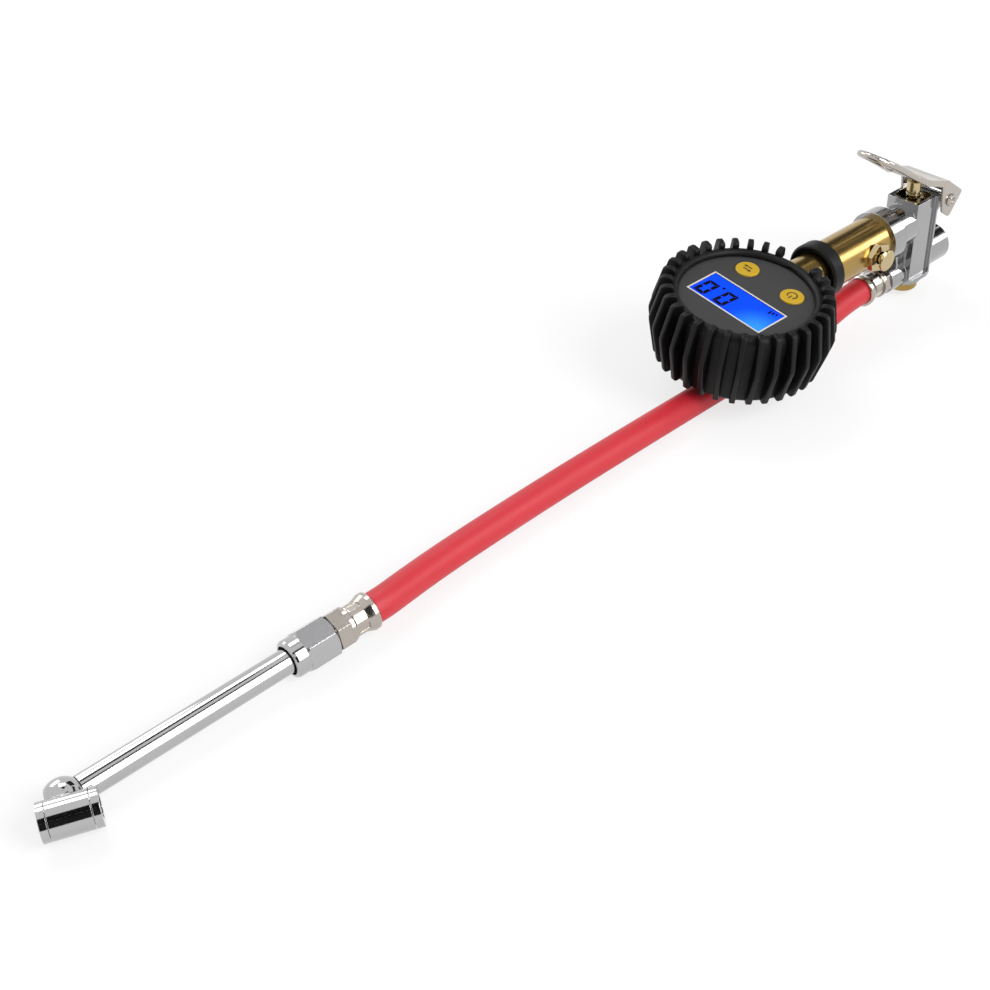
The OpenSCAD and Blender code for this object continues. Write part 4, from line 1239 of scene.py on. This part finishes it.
    def arrow_pair(self) -> list[list[Flat]]:
        """Draws two arrows that point opposite ways.

        Returns:
            The corners of each patch, small enough to follow the key's dome.
        """
        w = self.mark_half
        rows = [-1.6 + 0.4 * k for k in range(9)]
        patches = []
        for s in (-1, 1):
            for low, high in zip(rows, rows[1:]):
                patches.append([(s - w, low), (s + w, low), (s + w, high), (s - w, high)])
            patches.append([(s - 0.95, s * 1.3), (s, s * 2.7), (s + 0.95, s * 1.3)])
        return patches

    def keys(self) -> None:
        """Prints a power mark on one key and a pair of arrows on the other."""
        self.symbol(self.power_mark(), "key_mark_on", Body.ON_BUTTON, 1)
        self.symbol(self.arrow_pair(), "key_mark_unit", Body.UNIT_BUTTON, -1)

    def build(self) -> None:
        """Makes every piece of the gauge."""
        self.boot()
        self.frame_line()
        self.digits()
        self.keys()


# ------------------------------------------------------------------ lever


@dataclass
class Lever:
    """Pressed lever: dished pad, riser, rolled finger loop, folded edges and ears.

    Sizes are in millimetres, in the row frame.

    Attributes:
        pivot: Place of its pin along the tool and in height.
        slope_deg: Slope of the pad.
        riser_deg: Slope of the riser.
        loop_deg: Slope of the finger loop.
        pad_rise: Distance of the pad's underside from the pin.
        pad_start: Where the sheet begins along the pad.
        pad_len: Where the pad ends along itself.
        riser_len: Length of the riser.
        loop_len: Length of the loop beyond the riser.
        sheet_t: Thickness of the sheet at the pad.
        loop_t: Thickness of the rolled loop.
        width: Width over the pad.
        loop_w: Width over the loop.
        hole: Length and width of the finger hole.
        narrow_len: Length over which the sheet narrows to the loop.
        bend: Softness of the bend at the pad's end.
        dish: Depth of the dish along the middle, and the length over which it begins.
        side_inset: How far the sheet stops short of its beads.
        rear_lean: Lean of the sheet's rear edge, as a share of its thickness.
        bead: The side bead's radius as a share of the loop's.
        ear_t: Thickness of an ear.
        fold: Depth of the folded edge below the pad.
        voxel_mm: Fineness of the skin.
    """

    pivot: Flat = (10.0, 28.7)
    slope_deg: float = 20.0
    riser_deg: float = 32.0
    loop_deg: float = 32.0
    pad_rise: float = 7.0
    pad_start: float = 5.0
    pad_len: float = 23.0
    riser_len: float = 26.0
    loop_len: float = 11.0
    sheet_t: float = 1.8
    loop_t: float = 3.0
    width: float = 23.6
    loop_w: float = 20.0
    hole: Flat = (25.0, 14.0)
    narrow_len: float = 16.0
    bend: float = 3.0
    dish: Flat = (0.55, 4.0)
    side_inset: float = 0.2
    rear_lean: float = 0.34
    bead: float = 0.96
    ear_t: float = 1.6
    fold: float = 1.2
    voxel_mm: float = 0.36

    def along(self, start: Flat, angle: float, length: float) -> Flat:
        """Returns the point at a distance from start, at an angle in degrees."""
        a = math.radians(angle)
        return (start[0] + length * math.cos(a), start[1] + length * math.sin(a))

    def spine(self) -> list[Flat]:
        """Draws the underside from the side.

        Returns:
            Four points: its rear, the pad's end, the riser's end and the tip.
        """
        base = self.along(self.pivot, self.slope_deg + 90, self.pad_rise)
        front = self.along(base, self.slope_deg, self.pad_len)
        riser = self.along(front, self.riser_deg, self.riser_len)
        return [
            self.along(base, self.slope_deg, self.pad_start), front, riser,
            self.along(riser, self.loop_deg, self.loop_len),
        ]

    def level(self, x: float) -> float:
        """Finds the height of the underside, with a soft bend at the pad's end.

        Args:
            x: Place along the tool.

        Returns:
            The mean of seven heights around that place.
        """
        line = self.spine()
        ends = list(zip(line, line[1:]))
        total = 0.0
        for k in range(7):
            q = x + self.bend * (k / 3 - 1)
            for (x0, z0), (x1, z1) in ends:
                if q <= x1 or (x1, z1) == line[-1]:
                    total += z0 + (q - x0) * (z1 - z0) / (x1 - x0)
                    break
        return total / 7

    def half_width(self, x: float) -> float:
        """Finds how wide the sheet is.

        Args:
            x: Place along the tool.

        Returns:
            Half its width there.
        """
        start = self.spine()[1][0] - 1
        share = min(max((x - start) / self.narrow_len, 0.0), 1.0)
        share = share * share * (3 - 2 * share)
        return self.width / 2 + share * (self.loop_w - self.width) / 2

    def thickness(self, x: float) -> float:
        """Finds how thick the sheet is: it thickens along the riser to the loop.

        Args:
            x: Place along the tool.

        Returns:
            Its thickness there.
        """
        line = self.spine()
        share = min(max((x - line[1][0]) / (line[2][0] - line[1][0]), 0.0), 1.0)
        return self.sheet_t + share * (self.loop_t - self.sheet_t)

    def sheet(self) -> Shape:
        """Makes the pad and riser, dished along the middle.

        Returns:
            Their points and faces.
        """
        line = self.spine()
        rear, end = line[0][0], line[3][0] + self.loop_t / 2 - self.hole[0] - 1.5
        nx, ny = 60, 24
        depth, run = self.dish
        points, faces = [], []
        for top in (0, 1):
            for i in range(nx + 1):
                x = rear + (end - rear) * i / nx
                for j in range(ny + 1):
                    v = 2 * j / ny - 1
                    y = v * (self.half_width(x) - self.side_inset)
                    dish = depth * min((x - rear) / run, 1.0) * (1 - v**4)
                    z = self.level(x) + (self.thickness(x) - dish if top else 0.0)
                    points.append(Vector((x - top * self.sheet_t * self.rear_lean, y, z)))
        row, layer = ny + 1, (nx + 1) * (ny + 1)
        for i in range(nx):
            for j in range(ny):
                a = i * row + j
                faces.append([a, a + 1, a + row + 1, a + row])
                faces.append([layer + a, layer + a + row, layer + a + row + 1, layer + a + 1])
        for i in range(nx):
            for a, b in ((i * row, (i + 1) * row), (i * row + ny, (i + 1) * row + ny)):
                faces.append([a, b, layer + b, layer + a])
        for j in range(ny):
            for a, b in ((j, j + 1), (nx * row + j, nx * row + j + 1)):
                faces.append([a, b, layer + b, layer + a])
        return points, faces

    def tube(self, path: list[Vector], radii: list[float], closed: bool) -> Shape:
        """Makes a round bar along a path.

        Args:
            path: The points of its middle line.
            radii: Its radius at each point.
            closed: True when the last point meets the first.

        Returns:
            Its points and faces.
        """
        steps, n = 16, len(path)
        points, faces = [], []
        for i, p in enumerate(path):
            before = path[(i - 1) % n] if closed or i else p
            after = path[(i + 1) % n] if closed or i < n - 1 else p
            ahead = (after - before).normalized()
            side = ahead.cross(Vector((0, 0, 1))).normalized()
            up = side.cross(ahead)
            for k in range(steps):
                a = 2 * math.pi * k / steps
                points.append(p + radii[i] * (side * math.cos(a) + up * math.sin(a)))
        for i in range(n if closed else n - 1):
            a, b = i * steps, (i + 1) % n * steps
            for k in range(steps):
                m = (k + 1) % steps
                faces.append([a + k, a + m, b + m, b + k])
        if not closed:
            faces += [list(range(steps)), list(range((n - 1) * steps, n * steps))[::-1]]
        return points, faces

    def loop(self) -> Shape:
        """Makes the rolled ring around the finger hole.

        Returns:
            Its points and faces.
        """
        r = self.loop_t / 2
        tip = self.spine()[3][0] + r
        mid = (self.loop_w - self.loop_t) / 2
        front, back = tip - self.loop_w / 2, tip - self.loop_t - self.hole[0] + self.hole[1] / 2
        turns = [7.5 * k for k in range(25)]
        sides = [back + (front - back) * k / 8 for k in range(1, 8)]
        flat = [(front + mid * math.cos(a), mid * math.sin(a))
                for a in (math.radians(turn - 90) for turn in turns)]
        flat += [(x, mid) for x in reversed(sides)]
        flat += [(back + mid * math.cos(a), mid * math.sin(a))
                 for a in (math.radians(turn + 90) for turn in turns)]
        flat += [(x, -mid) for x in sides]
        path = [Vector((x, y, self.level(x) + self.thickness(x) / 2)) for x, y in flat]
        return self.tube(path, [r] * len(path), True)

    def edge(self, side: int) -> Shape:
        """Makes the rounded bead that runs from the ear to the loop.

        Args:
            side: 1 or -1, the side of the lever.

        Returns:
            Its points and faces.
        """
        line = self.spine()
        rear, end = line[0][0] + 0.6, line[3][0] + self.loop_t / 2 - self.loop_w / 2
        r = self.loop_t / 2 * self.bead
        steps = 40
        path = []
        for k in range(steps + 1):
            x = rear + (end - rear) * k / steps
            top = self.level(x) + self.thickness(x)
            path.append(Vector((x, side * (self.half_width(x) - r), top - r)))
        return self.tube(path, [r] * len(path), False)

    def ear(self, side: int) -> Shape:
        """Makes one folded edge with its ear around the pin.

        Args:
            side: 1 or -1, the side of the lever.

        Returns:
            Its points and faces.
        """
        px, pz = self.pivot
        line = self.spine()
        fold = self.along((0, 0), self.slope_deg - 90, self.fold)
        start = self.along(line[0], self.slope_deg, 4.5)
        outline = [
            self.along(line[0], self.slope_deg + 90, self.sheet_t - 0.2),
            self.along(line[1], self.slope_deg + 90, self.sheet_t - 0.2),
            (line[1][0] + fold[0], line[1][1] + fold[1]), (start[0] + fold[0], start[1] + fold[1]),
            (px + 5.4, pz - 3.4), (px + 4.8, pz - 4.8), (px + 0.2, pz - 8.3), (px - 1.2, pz - 8.4),
            (px - 8.4, pz + 0.6), (px - 8.7, pz + 1.4), (px - 8.2, pz + 2.4),
        ]
        inner, outer = self.width / 2 - self.ear_t, self.width / 2
        points = [Vector((x, side * y, z)) for y in (inner, outer) for x, z in outline]
        return points, slab_faces(len(outline))

    def build(self) -> None:
        """Makes the lever as one smooth skin over its overlapping forms."""
        shapes = [self.sheet(), self.loop(), self.edge(1), self.edge(-1), self.ear(1), self.ear(-1)]
        made = piece("lever_skin", join(shapes), NICKEL_SHEET, Body.LEVER)
        # One skin over all the forms, eased so that their seams and edges are soft
        melt = made.modifiers.new("melt", "REMESH")
        melt.mode, melt.voxel_size, melt.use_smooth_shade = "VOXEL", self.voxel_mm * MM, True
        ease = made.modifiers.new("ease", "SMOOTH")
        ease.factor, ease.iterations = 0.5, 6
        bake(made)
        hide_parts("trigger_lever")


# ------------------------------------------------------------------ carried-over pieces


@dataclass
class Dressing:
    """Finishes of the pieces whose solid already has the right shape."""

    finishes: dict[Finish, tuple[str, ...]] = field(
        default_factory=lambda: {
            MOULDED_RUBBER: (
                "gauge_boot", "barrel_ring", "barrel_oring", "bleed_seal", "gland_oring",
                "poppet_seal", "cap_gasket", "coupling_washer", "foot_seals",
            ),
            CASE_ABS: ("gauge_case", "battery_cover"),
            MOULDED_ABS: ("face_plate",),
            BACKLIT_ACRYLIC: ("lcd_lens",),
            KEY_YELLOW: ("button_on", "button_unit"),
            NYLON_BLACK: ("button_switches", "lcd_module"),
            BOARD_LAMINATE: ("circuit_board",),
            CELL_SLEEVE: ("batteries",),
            ZINC_STEEL: ("battery_cover_screw", "case_screws", "battery_contacts", "pressure_sensor"),
            SPRING_STEEL: ("valve_spring", "bleed_spring", "foot_spring", "inlet_strainer"),
            LACQUERED_BRASS: ("barrel", "bottom_cap"),
            BRIGHT_BRASS: (
                "bleed_body", "bleed_button", "stem_nut", "gland_nut", "plunger", "poppet",
                "foot_pin_rear", "foot_pin_front",
            ),
            PLATED_CASTING: ("valve_body",),
            NICKEL_SHEET: ("trigger_lever", "hinge_pin"),
            NICKEL_TURNED: ("rear_insert", "rear_ferrule", "front_ferrule", "front_insert"),
            BRIGHT_CHROME: ("coupling_nut", "chuck_tube", "chuck_head", "foot_rings"),
            HOSE_RUBBER: ("hose",),
        }
    )

    def build(self) -> None:
        """Gives each carried-over piece its finish."""
        for finish, nodes in self.finishes.items():
            for name in nodes:
                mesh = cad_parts[name].data
                mesh.materials.clear()
                mesh.materials.append(finish.material())
                LOG.info("%s: %s", name, finish.label)


def corners() -> list[list[float]]:
    """Returns the lowest and highest corner of what is shown now."""
    return [list(corner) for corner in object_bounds()]


def main() -> None:
    """Builds the scene in order."""
    logging.basicConfig(level=logging.INFO, format="%(name)s %(message)s")
    cad = corners()
    studio = Studio()
    studio.camera()
    Hose().build()
    Gauge().build()
    Lever().build()
    Dressing().build()
    studio.world()
    studio.lights()
    studio.floor(cad[0][2] - FLOOR_GAP)
    bpy.context.scene.view_settings.view_transform = "Standard"


if __name__ == "__main__":
    main()
